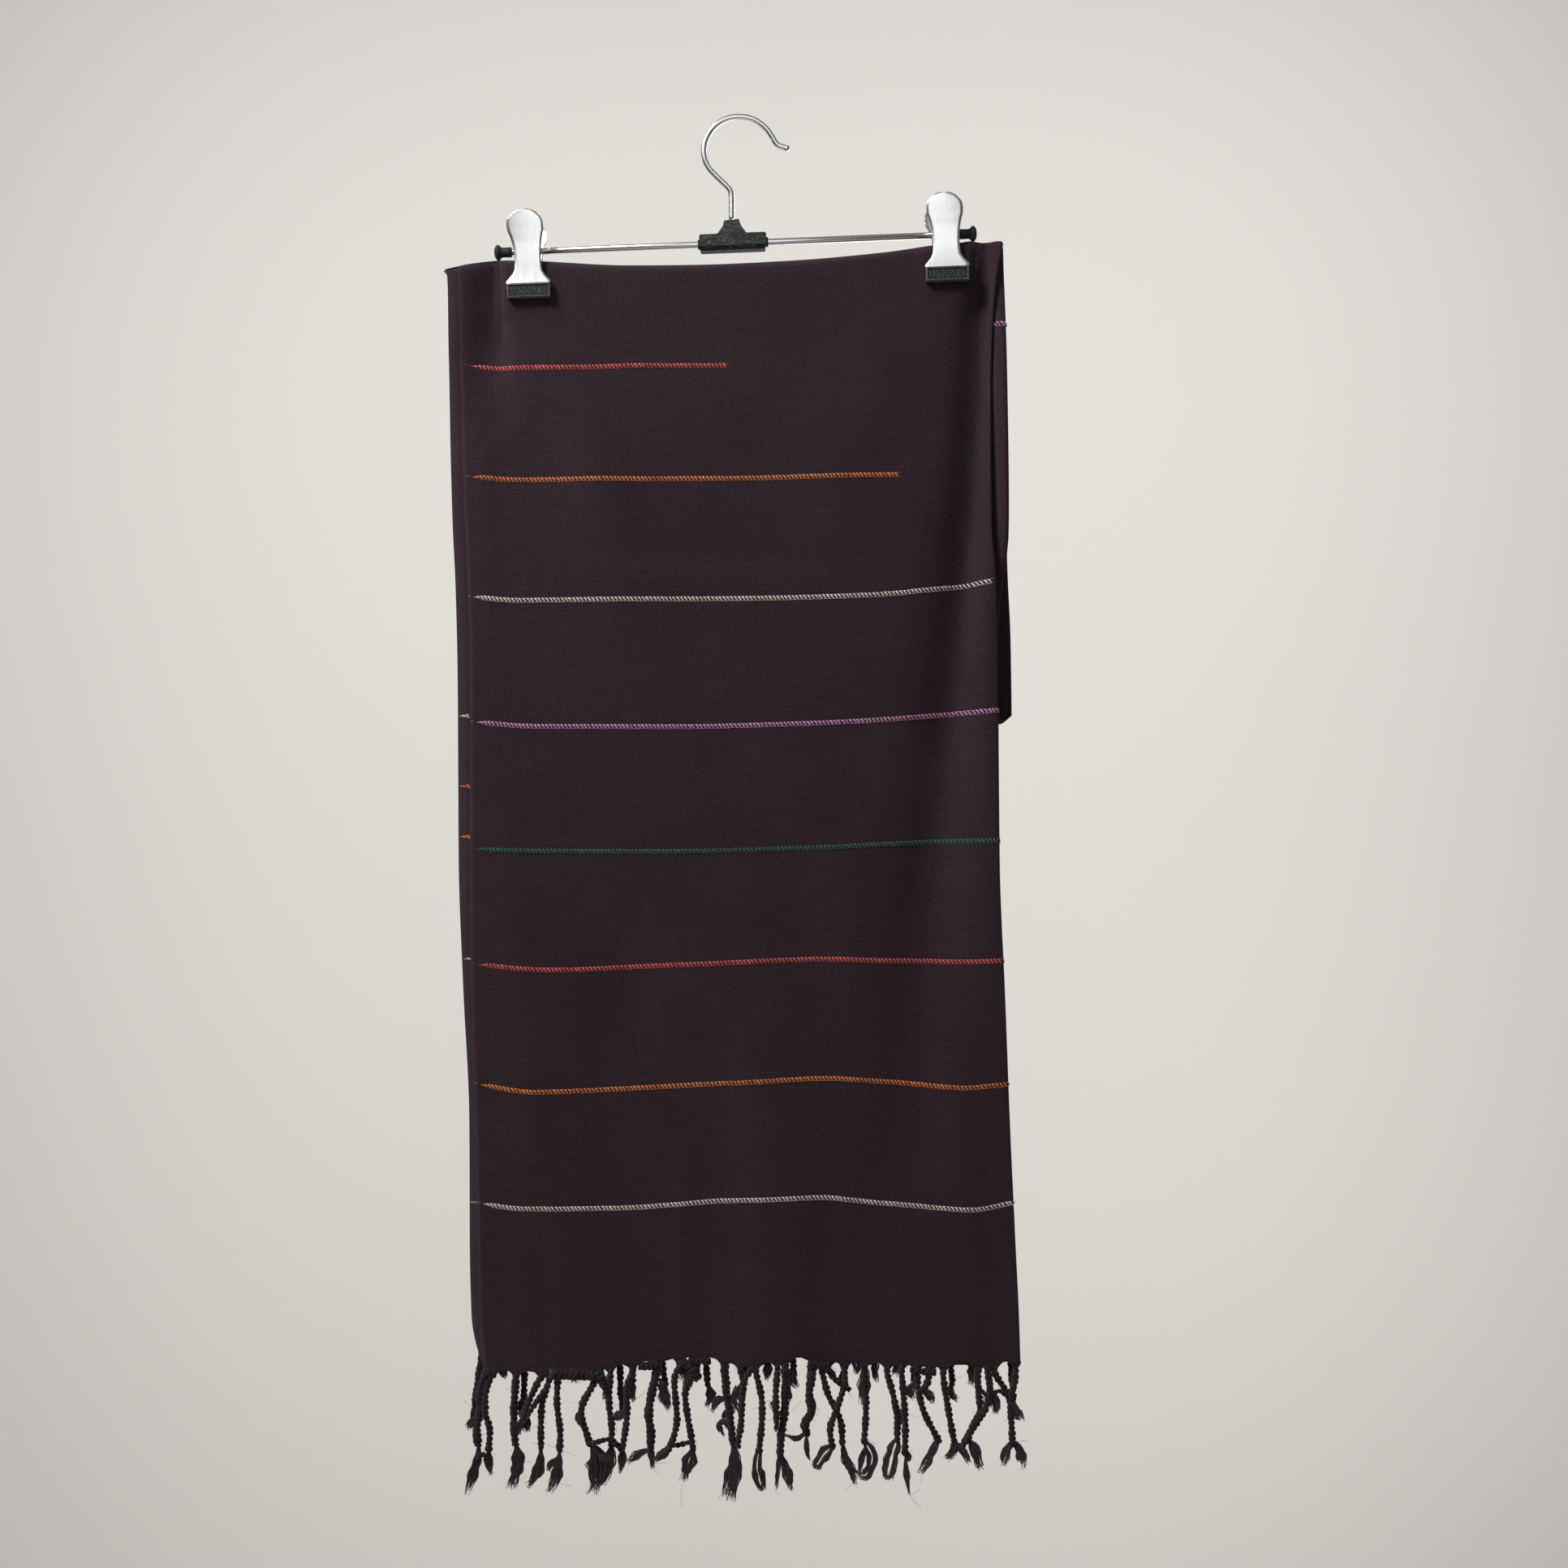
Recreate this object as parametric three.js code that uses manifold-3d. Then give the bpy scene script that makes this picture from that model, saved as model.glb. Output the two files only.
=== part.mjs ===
// A fringed stole, folded and held by the two clips of a metal hanger.
// Millimetres, +Z up, +X to the right seen from the front, front towards -Y.
// The origin is the inside of the hook's crown, where a nail or rail carries everything.
//
// The cloth is one long piece. It is folded lengthwise, with the fold at the right and both
// selvedges at the left, so each ply is two thicknesses. It is folded crosswise at its middle,
// and that folded end is turned over to the back, where it hangs as a shorter flap.
import * as THREE from 'three';
import { mergeVertices } from 'three/addons/utils/BufferGeometryUtils.js';
import Module from 'manifold-3d';

const wasm = await Module();
wasm.setup();

// ---- Cloth ----
const WALL = 1; // one thickness of cloth
const PLY_GAP = 0.3; // air between the two thicknesses of a ply
const BETWEEN_PLIES = 0.8; // air between the front ply and the rear ply
const TURN_CORE = 0.3; // free radius inside the innermost turn
const SEAM = 0.3; // gap between pieces that meet end to end
const PLY = 2 * WALL + PLY_GAP; // a ply: both thicknesses of the lengthwise fold
const PACK_RADIUS = TURN_CORE + 2 * PLY + BETWEEN_PLIES; // outer radius of the turn at the top edge
const FLAP_RADIUS = (PACK_RADIUS - TURN_CORE) / 2; // outer radius of the turn at the flap's end
const UNDER_RISE = 56; // how much higher the rear ply ends than the front ply

// The top edge, where the cloth turns over to the back. It droops outside the clips.
const TOP_EDGE = [
  { x: -173, z: -89 },
  { x: -158, z: -84.8 },
  { x: -143, z: -82.9 },
  { x: -124, z: -83.2 },
  { x: -65, z: -85.8 },
  { x: -29, z: -85.6 },
  { x: 28, z: -83.2 },
  { x: 85, z: -78.1 },
  { x: 120, z: -73.2 },
  { x: 136, z: -71.9 },
  { x: 156, z: -72.6 },
];

// The front ply's hem, a little uneven.
const HEM = [
  { x: -166, z: -727 },
  { x: -142, z: -736.5 },
  { x: -96, z: -738 },
  { x: -72, z: -733.5 },
  { x: -20, z: -728.5 },
  { x: 1, z: -731 },
  { x: 35, z: -728 },
  { x: 58, z: -732 },
  { x: 115, z: -733 },
  { x: 166, z: -730.5 },
];

// The front ply, down the front: the outer thickness's selvedge, the inner one's, and the fold.
const FRONT_PLY = [
  { z: -72, outer: -166, inner: -173, fold: 154.5 },
  { z: -101, outer: -165, inner: -171.5, fold: 149.6 },
  { z: -145, outer: -164, inner: -170.8, fold: 147.3 },
  { z: -187, outer: -163, inner: -170, fold: 147.2 },
  { z: -240, outer: -161, inner: -168.5, fold: 147.5 },
  { z: -273, outer: -159.5, inner: -166.5, fold: 151 },
  { z: -350, outer: -158, inner: -165, fold: 152 },
  { z: -435, outer: -158, inner: -164.8, fold: 152.2 },
  { z: -511, outer: -157.5, inner: -162.5, fold: 154.5 },
  { z: -587, outer: -155.5, inner: -159, fold: 157.6 },
  { z: -660, outer: -154, inner: -158.8, fold: 161 },
  { z: -704, outer: -153, inner: -157.8, fold: 163.2 },
  { z: -738, outer: -149, inner: -149.5, fold: 164.3 },
];

// The rear ply, down the front side, behind the front ply.
const UNDER_PLY = [
  { z: -72, outer: -161, inner: -165, fold: 153.5 },
  { z: -240, outer: -159, inner: -163, fold: 145 },
  { z: -435, outer: -157, inner: -160.5, fold: 148 },
  { z: -680, outer: -152, inner: -155, fold: 157 },
];

// The back flap: its outer side down the back, then its inner side up again.
const FLAP_OUTSIDE = [
  { z: -72, outer: -172.5, inner: -170, fold: 154.5 },
  { z: -130, outer: -170, inner: -168, fold: 156 },
  { z: -250, outer: -167, inner: -165, fold: 157 },
  { z: -353, outer: -163.5, inner: -161.5, fold: 158.5 },
];
const FLAP_INSIDE = [
  { z: -72, outer: -163, inner: -165, fold: 154.5 },
  { z: -240, outer: -161, inner: -163, fold: 157.6 },
  { z: -262, outer: -160.5, inner: -162.5, fold: 156 },
  { z: -292, outer: -160, inner: -162, fold: 152.4 },
  { z: -335, outer: -159.5, inner: -161.5, fold: 151.4 },
  { z: -353, outer: -159, inner: -161, fold: 150.5 },
];
const FLAP_END = [
  { x: -165, z: -351 },
  { x: 0, z: -352.5 },
  { x: 159, z: -353.3 },
];

// Soft folds of the hanging cloth, each a line with a trough (positive) or a ridge (negative).
const DRAPE_FOLDS = [
  { fromX: 138, fromZ: -88, toX: 122, toZ: -300, halfWidth: 13, depth: 4.5 },
  { fromX: 122, fromZ: -260, toX: 92, toZ: -640, halfWidth: 20, depth: 4 },
  { fromX: 150, fromZ: -110, toX: 146, toZ: -420, halfWidth: 12, depth: -2.5 },
  { fromX: -126, fromZ: -96, toX: -168, toZ: -170, halfWidth: 14, depth: 3.5 },
  { fromX: -104, fromZ: -100, toX: -40, toZ: -420, halfWidth: 26, depth: -3 },
  { fromX: 96, fromZ: -96, toX: 30, toZ: -360, halfWidth: 26, depth: -2.5 },
  { fromX: -60, fromZ: -420, toX: -84, toZ: -700, halfWidth: 24, depth: 3 },
  { fromX: 10, fromZ: -460, toX: 20, toZ: -728, halfWidth: 22, depth: -3 },
];
const FOLD_FADE = { start: -0.02, full: 0.25 }; // shares of a fold's length over which each end fades
const HEM_WAVE = { depth: 1.8, length: 105, start: 40, reach: 200 }; // ripple that grows to the hem
const FLAP_SWELL = { depth: 5, start: 0.15 }; // how far the flap's end stands off, and from where
const PAD_HOLD = { flat: 30, free: 62 }; // distances from a clip: pressed flat, free to move

// All the walls share one lattice, so neighbouring thicknesses have the same facets and stay
// apart. Its inner lines are the walls' columns and rows; the outermost ones lie off the cloth.
const LATTICE_X = [-185, -145, -112, -80, -46, -12, 22, 56, 84, 108, 130, 170];
const LATTICE_Z = [
  -60, -110, -145, -185, -230, -280, -330, -385, -440, -495, -550, -605, -655, -694, -750,
];
const INNER_COLUMNS = LATTICE_X.slice(1, -1);
const INNER_ROWS = LATTICE_Z.slice(1, -1);
const ROW_ROOM = 12; // least distance from a row to the end of the cloth
const FOLD_STEPS = 4; // facets round the lengthwise fold
const TURN_STEPS = 3; // facets round a quarter turn

// ---- Fringe ----
const STRIP_DROP = 2.4; // height of the strip that the cords leave
const ROOT_DROP = 1.4; // how far below the hem a cord's centre starts
const CORD_RADIUS = 1.25;
const TUFT_RADIUS = 2.3;
const TIP_RADIUS = 0.8;
const TUFT_DRIFT = 0.4; // how far a tuft has moved from its knot towards its tip
const CORD_LEVEL = 2.9; // depth between cords that cross
const FRONT_CORD_Y = -5.2; // depth at the roots
const UNDER_CORD_Y = -1.5;
const CORD_SHARES = { bend: 0.27, knot: 0.64, tuft: 0.82 }; // down a cord's length
const UNDER_DRIFT = { bend: 0.2, knot: 0.6 }; // how far a rear cord has moved from root to tip
const UNDER_LEVEL = 0.6; // least level of a rear cord, behind its root

// Each cord of the front ply: x at root, bend, knot and tip, the tip's z and its level.
const FRONT_CORDS = [
  { root: -148.5, bend: -151.5, knot: -154.5, tip: -160.5, end: -808, level: 0 },
  { root: -145, bend: -147, knot: -147, tip: -145.5, end: -795, level: 1 },
  { root: -134, bend: -133.5, knot: -134, tip: -135.5, end: -805, level: 0 },
  { root: -129.5, bend: -130.5, knot: -131, tip: -128, end: -801, level: 1 },
  { root: -118, bend: -122, knot: -125.5, tip: -127.5, end: -772, level: 2 },
  { root: -113, bend: -117, knot: -117, tip: -122.5, end: -804, level: 0 },
  { root: -107, bend: -107, knot: -105.5, tip: -112, end: -807, level: 1 },
  { root: -87, bend: -91, knot: -88.5, tip: -82.5, end: -807, level: 0 },
  { root: -76, bend: -77, knot: -76, tip: -79, end: -804, level: 1 },
  { root: -64.5, bend: -67, knot: -68, tip: -69.5, end: -795, level: 0 },
  { root: -47.5, bend: -53, knot: -52, tip: -53.5, end: -792, level: 0 },
  { root: -36.5, bend: -38.5, knot: -36, tip: -49, end: -786, level: 1 },
  { root: -27, bend: -30.5, knot: -28, tip: -33, end: -800, level: 0 },
  { root: -9.5, bend: -6.5, knot: -4.5, tip: -7, end: -809.5, level: 0 },
  { root: 2.5, bend: 1.5, knot: -1.5, tip: -4, end: -806, level: 1 },
  { root: 9.5, bend: 12.5, knot: 11, tip: 13.5, end: -804, level: 0 },
  { root: 22, bend: 21.5, knot: 21.5, tip: 22, end: -768, level: 1 },
  { root: 26.5, bend: 26.5, knot: 23.5, tip: 28.5, end: -805, level: 0 },
  { root: 42, bend: 41.5, knot: 36, tip: 41, end: -788, level: 1 },
  { root: 48, bend: 54, knot: 61, tip: 69, end: -802, level: 0 },
  { root: 61.5, bend: 59, knot: 54.5, tip: 45, end: -791, level: 1 },
  { root: 72.5, bend: 75, knot: 72.5, tip: 73, end: -797, level: 1 },
  { root: 86, bend: 90, knot: 92, tip: 87, end: -799.5, level: 0 },
  { root: 94.5, bend: 95.5, knot: 96.5, tip: 99, end: -806.5, level: 1 },
  { root: 103.5, bend: 108, knot: 115, tip: 104, end: -795.5, level: 0 },
  { root: 111.5, bend: 109.5, knot: 116.5, tip: 110, end: -793.5, level: 1 },
  { root: 119.5, bend: 122, knot: 125, tip: 130, end: -792, level: 0 },
  { root: 139, bend: 139.5, knot: 132.5, tip: 140, end: -793, level: 1 },
  { root: 147.5, bend: 144.5, knot: 141, tip: 140, end: -766, level: 0 },
  { root: 152.5, bend: 158.5, knot: 160, tip: 161, end: -795, level: 0 },
  { root: 160.5, bend: 159, knot: 158.5, tip: 157.5, end: -756, level: 1 },
];

// Each cord of the rear ply: x at root and tip, and the tip's z.
const UNDER_CORDS = [
  { root: -151, tip: -159, end: -770 },
  { root: -139, tip: -140, end: -743 },
  { root: -127, tip: -127.5, end: -765 },
  { root: -113, tip: -112, end: -741 },
  { root: -100, tip: -98, end: -744 },
  { root: -88, tip: -81.5, end: -748 },
  { root: -75, tip: -70, end: -764 },
  { root: -62, tip: -64, end: -757 },
  { root: -50, tip: -43.5, end: -758 },
  { root: -37, tip: -34, end: -744 },
  { root: -25, tip: -18.5, end: -758 },
  { root: -14, tip: -6.5, end: -772 },
  { root: -1, tip: 2.5, end: -745 },
  { root: 12, tip: 16, end: -742 },
  { root: 25, tip: 32, end: -746 },
  { root: 38, tip: 41, end: -742 },
  { root: 52, tip: 62, end: -749 },
  { root: 66, tip: 69, end: -741 },
  { root: 78, tip: 80, end: -745 },
  { root: 91, tip: 92, end: -742 },
  { root: 104, tip: 104, end: -747 },
  { root: 116, tip: 126, end: -756 },
  { root: 128, tip: 136, end: -745 },
  { root: 140, tip: 148, end: -760 },
  { root: 151, tip: 162, end: -766 },
];

// ---- Hanger ----
const HANGER_TILT = THREE.MathUtils.degToRad(2.3); // the right end hangs higher
const BAR = { x: -4.3, z: -72.9, radius: 1.9, length: 281, shift: 1.7 };
const CAP = { length: 10, body: 2.75, flange: 4.3, flare: 6.8, lip: 8.2, edge: 9.3, floor: 2.4 };
const BOSS = { width: 39, depth: 11, height: 9.4, round: 1 };
// The boss's four-sided neck: half its width at the foot, at the waist and at the top.
const NECK = {
  base: 8.5, waist: 5.6, waistHeight: 4.4, top: 4.1, height: 8.4, depth: 9, socket: 5, clearance: 0.45,
};
const HOOK = {
  wire: 1.6, // radius of the wire
  ring: 20.1, // radius of the ring's centre line
  x: -1.9,
  z: -18.4,
  rightEnd: 33, // degrees, where the ring runs into the point's straight stretch
  leftEnd: 228, // degrees, where the ring runs into the stem's straight stretch
  point: 9.8, // length of the straight stretch towards the point
  tipX: 27.6,
  tipZ: -17,
  stemX: -5,
  bend: 4,
  knob: 2.2,
  knobFlat: 0.8, // length of the knob along the wire, as a share of its width
};
const ROUND_SIDES = 14; // facets round the rod, caps, neck and springs
const HOOK_STEPS = 56;
const RING_STEP = 9; // degrees between the points of the ring's line
const WIRE_SIDES = 8;
const KNOB_ROWS = 5;

const CLIPS = [
  { name: 'left', x: -120 },
  { name: 'right', x: 124.6 },
];
const LEVER = { sheet: 1, reach: 14, blank: 30 };
// Half the width of a lever at each height above the bar: thumb lobe, neck and jaw.
const LEVER_OUTLINE = [
  { z: 20.7, half: 0 },
  { z: 20.1, half: 4.2 },
  { z: 18.1, half: 7.8 },
  { z: 13.2, half: 10 },
  { z: 8, half: 9.4 },
  { z: -1, half: 7.6 },
  { z: -9, half: 7.4 },
  { z: -15, half: 8.6 },
  { z: -19, half: 11.6 },
  { z: -21.1, half: 12.6 },
];
// How far a lever's sheet stands from the middle plane at each height.
const LEVER_BOW = [
  { z: -21.1, y: 9.3 },
  { z: -10, y: 8.4 },
  { z: 0, y: 8.6 },
  { z: 8, y: 10.2 },
  { z: 15, y: 12 },
  { z: 21, y: 13.2 },
];
const LEVER_BACK = LEVER_BOW[2].y - LEVER.sheet / 2; // middle of the sheet at the bar's height
const BOW_STEPS = 8;
const PAD = { width: 25.4, height: 8.5, thick: 4.2, top: -21.4, round: 1.2 };
const CHEEK = { thick: 0.9, front: 6.3, rear: 5.1, eye: 3.8, hole: 2.45, root: 1 };
const SPRING = { inner: 2.3, outer: 3.7, length: 8.6 };

const FINISHES = {
  cloth: { color: 0x2e242a, roughness: 0.9, metalness: 0 },
  chrome: { color: 0xd2d4d4, roughness: 0.15, metalness: 1 },
  steel: { color: 0xc6c7c5, roughness: 0.32, metalness: 1 },
  plastic: { color: 0x1a1b1c, roughness: 0.5, metalness: 0 },
  rubber: { color: 0x25282a, roughness: 0.6, metalness: 0 },
};

const WELD = 1e-4; // distance below which two points are one

// ---- Small helpers ----
const lerp = THREE.MathUtils.lerp;
const vector = (x, y, z) => new THREE.Vector3(x, y, z);

// A column of a table at a place between its rows; the key column falls or rises steadily.
function at(table, key, place, column) {
  const rising = table[table.length - 1][key] > table[0][key];
  const rows = rising ? table : [...table].reverse();
  const next = rows.findIndex((row) => row[key] >= place);
  if (next === 0) return rows[0][column];
  if (next < 0) return rows[rows.length - 1][column];
  const [low, high] = [rows[next - 1], rows[next]];
  return lerp(low[column], high[column], (place - low[key]) / (high[key] - low[key]));
}

// An edge's line, straight between the lattice's columns.
function latticeLine(table) {
  const columns = [table[0].x, ...INNER_COLUMNS, table[table.length - 1].x];
  const line = columns.map((x) => ({ x, z: at(table, 'x', x, 'z') }));
  return (x) => at(line, 'x', x, 'z');
}

const topZ = latticeLine(TOP_EDGE);
const hemZ = latticeLine(HEM);
const underHemZ = (x) => hemZ(x) + UNDER_RISE;
const flapEndZ = (x) => at(FLAP_END, 'x', x, 'z');

function meshOf(coordinates, index) {
  const geometry = new THREE.BufferGeometry();
  geometry.setAttribute('position', new THREE.Float32BufferAttribute(coordinates, 3));
  geometry.setIndex(index);
  return geometry;
}

// A closed body from points and four-sided faces, with its faces turned outwards.
function bodyFromFaces(points, faces) {
  const halved = ([a, b, c, d]) => (d === undefined ? [[a, b, c]] : [[a, b, c], [a, c, d]]);
  const triangles = faces.flatMap(halved);
  const volume = triangles.reduce(
    (sum, [a, b, c]) => sum + points[a].dot(vector(0, 0, 0).crossVectors(points[b], points[c])),
    0,
  );
  const turned = volume < 0 ? triangles.map(([a, b, c]) => [a, c, b]) : triangles;
  return meshOf(points.flatMap((point) => point.toArray()), turned.flat());
}

// ---- Joining and cutting ----
function toSolid(geometry) {
  const bare = geometry.clone();
  bare.deleteAttribute('normal');
  bare.deleteAttribute('uv');
  const merged = mergeVertices(bare, WELD);
  return new wasm.Manifold(new wasm.Mesh({
    numProp: 3,
    vertProperties: new Float32Array(merged.attributes.position.array),
    triVerts: new Uint32Array(merged.index.array),
  }));
}

function fromSolid(solid) {
  const mesh = solid.getMesh();
  return meshOf(mesh.vertProperties, [...mesh.triVerts]);
}

function joined(...geometries) {
  return fromSolid(geometries.map(toSolid).reduce((whole, next) => whole.add(next)));
}

function cut(geometry, ...tools) {
  return fromSolid(tools.map(toSolid).reduce((whole, tool) => whole.subtract(tool), toSolid(geometry)));
}

function common(one, other) {
  return fromSolid(toSolid(one).intersect(toSolid(other)));
}

// ---- The cloth's hang ----
// How far the cloth is free to move at a point: nothing under a clip's pads, all of it elsewhere.
function freedom(x, z) {
  return CLIPS.reduce((free, clip) => {
    const away = Math.hypot(x - clip.x - BAR.x, z - topZ(x) + PAD.height * 2);
    return free * THREE.MathUtils.smoothstep(away, PAD_HOLD.flat, PAD_HOLD.free);
  }, 1);
}

function foldDepth(x, z, fold) {
  const run = new THREE.Vector2(fold.toX - fold.fromX, fold.toZ - fold.fromZ);
  const from = new THREE.Vector2(x - fold.fromX, z - fold.fromZ);
  const share = THREE.MathUtils.clamp(from.dot(run) / run.lengthSq(), 0, 1);
  const away = from.distanceTo(run.multiplyScalar(share));
  const fade = THREE.MathUtils.smoothstep(Math.min(share, 1 - share), FOLD_FADE.start, FOLD_FADE.full);
  return fold.depth * fade * Math.exp(-((away / fold.halfWidth) ** 2));
}

// How far the cloth is pushed back at a point by its soft folds and the ripple of its hem.
function softDrape(x, z) {
  const folds = DRAPE_FOLDS.reduce((sum, fold) => sum + foldDepth(x, z, fold), 0);
  const low = THREE.MathUtils.smoothstep(hemZ(x) + HEM_WAVE.reach - z, 0, HEM_WAVE.reach);
  const turn = ((x - HEM_WAVE.start) / HEM_WAVE.length) * 2 * Math.PI;
  return freedom(x, z) * (folds + HEM_WAVE.depth * low * Math.sin(turn));
}

const latticeDepths = LATTICE_Z.map((z) => LATTICE_X.map((x) => softDrape(x, z)));

// The same push, straight between the lattice's lines.
function drape(x, z) {
  const column = Math.max(LATTICE_X.findLastIndex((line) => line <= x), 0);
  const row = Math.max(LATTICE_Z.findLastIndex((line) => line >= z), 0);
  const shareX = (x - LATTICE_X[column]) / (LATTICE_X[column + 1] - LATTICE_X[column]);
  const shareZ = (z - LATTICE_Z[row]) / (LATTICE_Z[row + 1] - LATTICE_Z[row]);
  const upper = lerp(latticeDepths[row][column], latticeDepths[row][column + 1], shareX);
  const lower = lerp(latticeDepths[row + 1][column], latticeDepths[row + 1][column + 1], shareX);
  return lerp(upper, lower, shareZ);
}

function flapSwell(x, z) {
  const low = (topZ(x) - z) / (topZ(x) - flapEndZ(x));
  return FLAP_SWELL.depth * THREE.MathUtils.smoothstep(low, FLAP_SWELL.start, 1);
}

// The section of a ply: two thicknesses joined by the fold. Each point has x and the depth below
// the ply's outer face, on the outside and on the inside of the wall.
function plySection(edges) {
  const axisDepth = PLY / 2;
  const axisX = edges.fold - axisDepth;
  const section = { outside: [], inside: [] };
  const add = (face, x, depth) => section[face].push({ x, depth });
  [edges.outer, ...INNER_COLUMNS, axisX].forEach((x) => {
    add('outside', x, 0);
    add('inside', x, WALL);
  });
  for (let step = 1; step < FOLD_STEPS; step += 1) {
    const angle = (step / FOLD_STEPS - 0.5) * Math.PI;
    const round = (face, radius) => add(
      face, axisX + radius * Math.cos(angle), axisDepth + radius * Math.sin(angle));
    round('outside', axisDepth);
    round('inside', PLY_GAP / 2);
  }
  [edges.inner, ...INNER_COLUMNS, axisX].reverse().forEach((x) => {
    add('outside', x, PLY);
    add('inside', x, PLY - WALL);
  });
  return section;
}

function edgesAt(table, z) {
  return {
    outer: at(table, 'z', z, 'outer'),
    inner: at(table, 'z', z, 'inner'),
    fold: at(table, 'z', z, 'fold'),
  };
}

// A wall: one row of wall points for each station. A station has the section's edges and a place
// function that puts a section point in space.
function wallFrom(stations) {
  const rows = stations.map(({ edges, place }) => {
    const section = plySection(edges);
    return [section.outside.map(place), section.inside.map(place)];
  });
  const across = rows[0][0].length;
  const number = (row, face, column) => (row * 2 + face) * across + column;
  // A four-sided face between two neighbouring points of a row and two of another row.
  const patch = (upper, lower, column, next) => [
    number(...upper, column), number(...upper, next), number(...lower, next), number(...lower, column),
  ];
  const turned = ([a, b, c, d]) => [a, d, c, b];
  const faces = [];
  for (let row = 0; row < rows.length - 1; row += 1) {
    for (let column = 0; column < across - 1; column += 1) {
      const outside = patch([row, 0], [row + 1, 0], column, column + 1);
      const inside = turned(patch([row, 1], [row + 1, 1], column, column + 1));
      // Past the fold the columns run back, so the faces are split along their other diagonal.
      const start = column < across / 2 ? 0 : 1;
      [outside, inside].forEach((face) => faces.push([...face.slice(start), ...face.slice(0, start)]));
    }
    const last = across - 1;
    faces.push([number(row, 0, 0), number(row + 1, 0, 0), number(row + 1, 1, 0), number(row, 1, 0)]);
    faces.push([
      number(row, 0, last), number(row, 1, last), number(row + 1, 1, last), number(row + 1, 0, last),
    ]);
  }
  const end = rows.length - 1;
  for (let column = 0; column < across - 1; column += 1) {
    faces.push(turned(patch([0, 0], [0, 1], column, column + 1)));
    faces.push(patch([end, 0], [end, 1], column, column + 1));
  }
  return bodyFromFaces(rows.flat(2), faces);
}

// The radius, about the top edge's turn, of a point at a depth in the front or the rear ply.
const outerRadius = (depth) => PACK_RADIUS - depth;
const innerRadius = (depth) => TURN_CORE + depth;

const turnBase = (x) => topZ(x) - PACK_RADIUS;

// A station on the hanging front, at a height that may vary across the cloth.
function frontStation(table, height, radius) {
  return {
    edges: edgesAt(table, height(0)),
    place: ({ x, depth }) => vector(x, -SEAM / 2 - radius(depth) + drape(x, height(x)), height(x)),
  };
}

// A station on the quarter turn at the top edge, on the front (side -1) or the back (side 1).
function turnStation(table, angle, radius, side) {
  return {
    edges: edgesAt(table, TOP_EDGE[0].z),
    place: ({ x, depth }) => {
      const y = side * (SEAM / 2 + radius(depth) * Math.cos(angle));
      const z = turnBase(x) + radius(depth) * Math.sin(angle);
      return vector(x, y + drape(x, turnBase(x)) * Math.cos(angle), z);
    },
  };
}

function hangingPly(table, radius, bottom) {
  const rows = INNER_ROWS.filter((z) => z > bottom(0) + ROW_ROOM).reverse().map((z) => () => z);
  const stations = [bottom, ...rows, turnBase].map((height) => frontStation(table, height, radius));
  for (let step = 1; step <= TURN_STEPS; step += 1) {
    stations.push(turnStation(table, (step / TURN_STEPS) * (Math.PI / 2), radius, -1));
  }
  return wallFrom(stations);
}

// A station of the flap between its two turns.
function flapStation(table, height, radius) {
  return {
    edges: edgesAt(table, height(0)),
    place: ({ x, depth }) => {
      const z = height(x);
      return vector(x, SEAM / 2 + radius(depth) + drape(x, z) + flapSwell(x, z), z);
    },
  };
}

// A station on the half turn at the flap's end.
function flapEndStation(angle) {
  const share = angle / Math.PI;
  const outside = FLAP_OUTSIDE[FLAP_OUTSIDE.length - 1];
  const inside = FLAP_INSIDE[FLAP_INSIDE.length - 1];
  const middleRadius = TURN_CORE + FLAP_RADIUS;
  return {
    edges: {
      outer: lerp(outside.outer, inside.outer, share),
      inner: lerp(outside.inner, inside.inner, share),
      fold: lerp(outside.fold, inside.fold, share),
    },
    place: ({ x, depth }) => {
      const turnZ = flapEndZ(x) + FLAP_RADIUS;
      const radius = FLAP_RADIUS - depth;
      const middleY = SEAM / 2 + middleRadius + drape(x, turnZ) + flapSwell(x, turnZ);
      return vector(x, middleY + radius * Math.cos(angle), turnZ - radius * Math.sin(angle));
    },
  };
}

function backFlap() {
  const rows = INNER_ROWS.filter((z) => z > flapEndZ(0) + ROW_ROOM).map((z) => () => z);
  const heights = [turnBase, ...rows, (x) => flapEndZ(x) + FLAP_RADIUS];
  const stations = [];
  for (let step = TURN_STEPS; step >= 1; step -= 1) {
    stations.push(turnStation(FLAP_OUTSIDE, (step / TURN_STEPS) * (Math.PI / 2), outerRadius, 1));
  }
  heights.forEach((height) => stations.push(flapStation(FLAP_OUTSIDE, height, outerRadius)));
  for (let step = 1; step < 2 * TURN_STEPS; step += 1) {
    stations.push(flapEndStation((step / (2 * TURN_STEPS)) * Math.PI));
  }
  heights.reverse().forEach((height) => stations.push(flapStation(FLAP_INSIDE, height, innerRadius)));
  for (let step = 1; step <= TURN_STEPS; step += 1) {
    stations.push(turnStation(FLAP_INSIDE, (step / TURN_STEPS) * (Math.PI / 2), innerRadius, 1));
  }
  return wallFrom(stations);
}

// ---- Fringe ----
// The strip just below a hem, with the ply's own section.
function hemStrip(table, radius, bottom) {
  const station = (drop) => ({
    edges: edgesAt(table, bottom(0)),
    place: ({ x, depth }) => {
      const z = bottom(x);
      return vector(x, -SEAM / 2 - radius(depth) + drape(x, z), z - drop);
    },
  });
  return wallFrom([station(SEAM), station(SEAM + STRIP_DROP)]);
}

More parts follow.
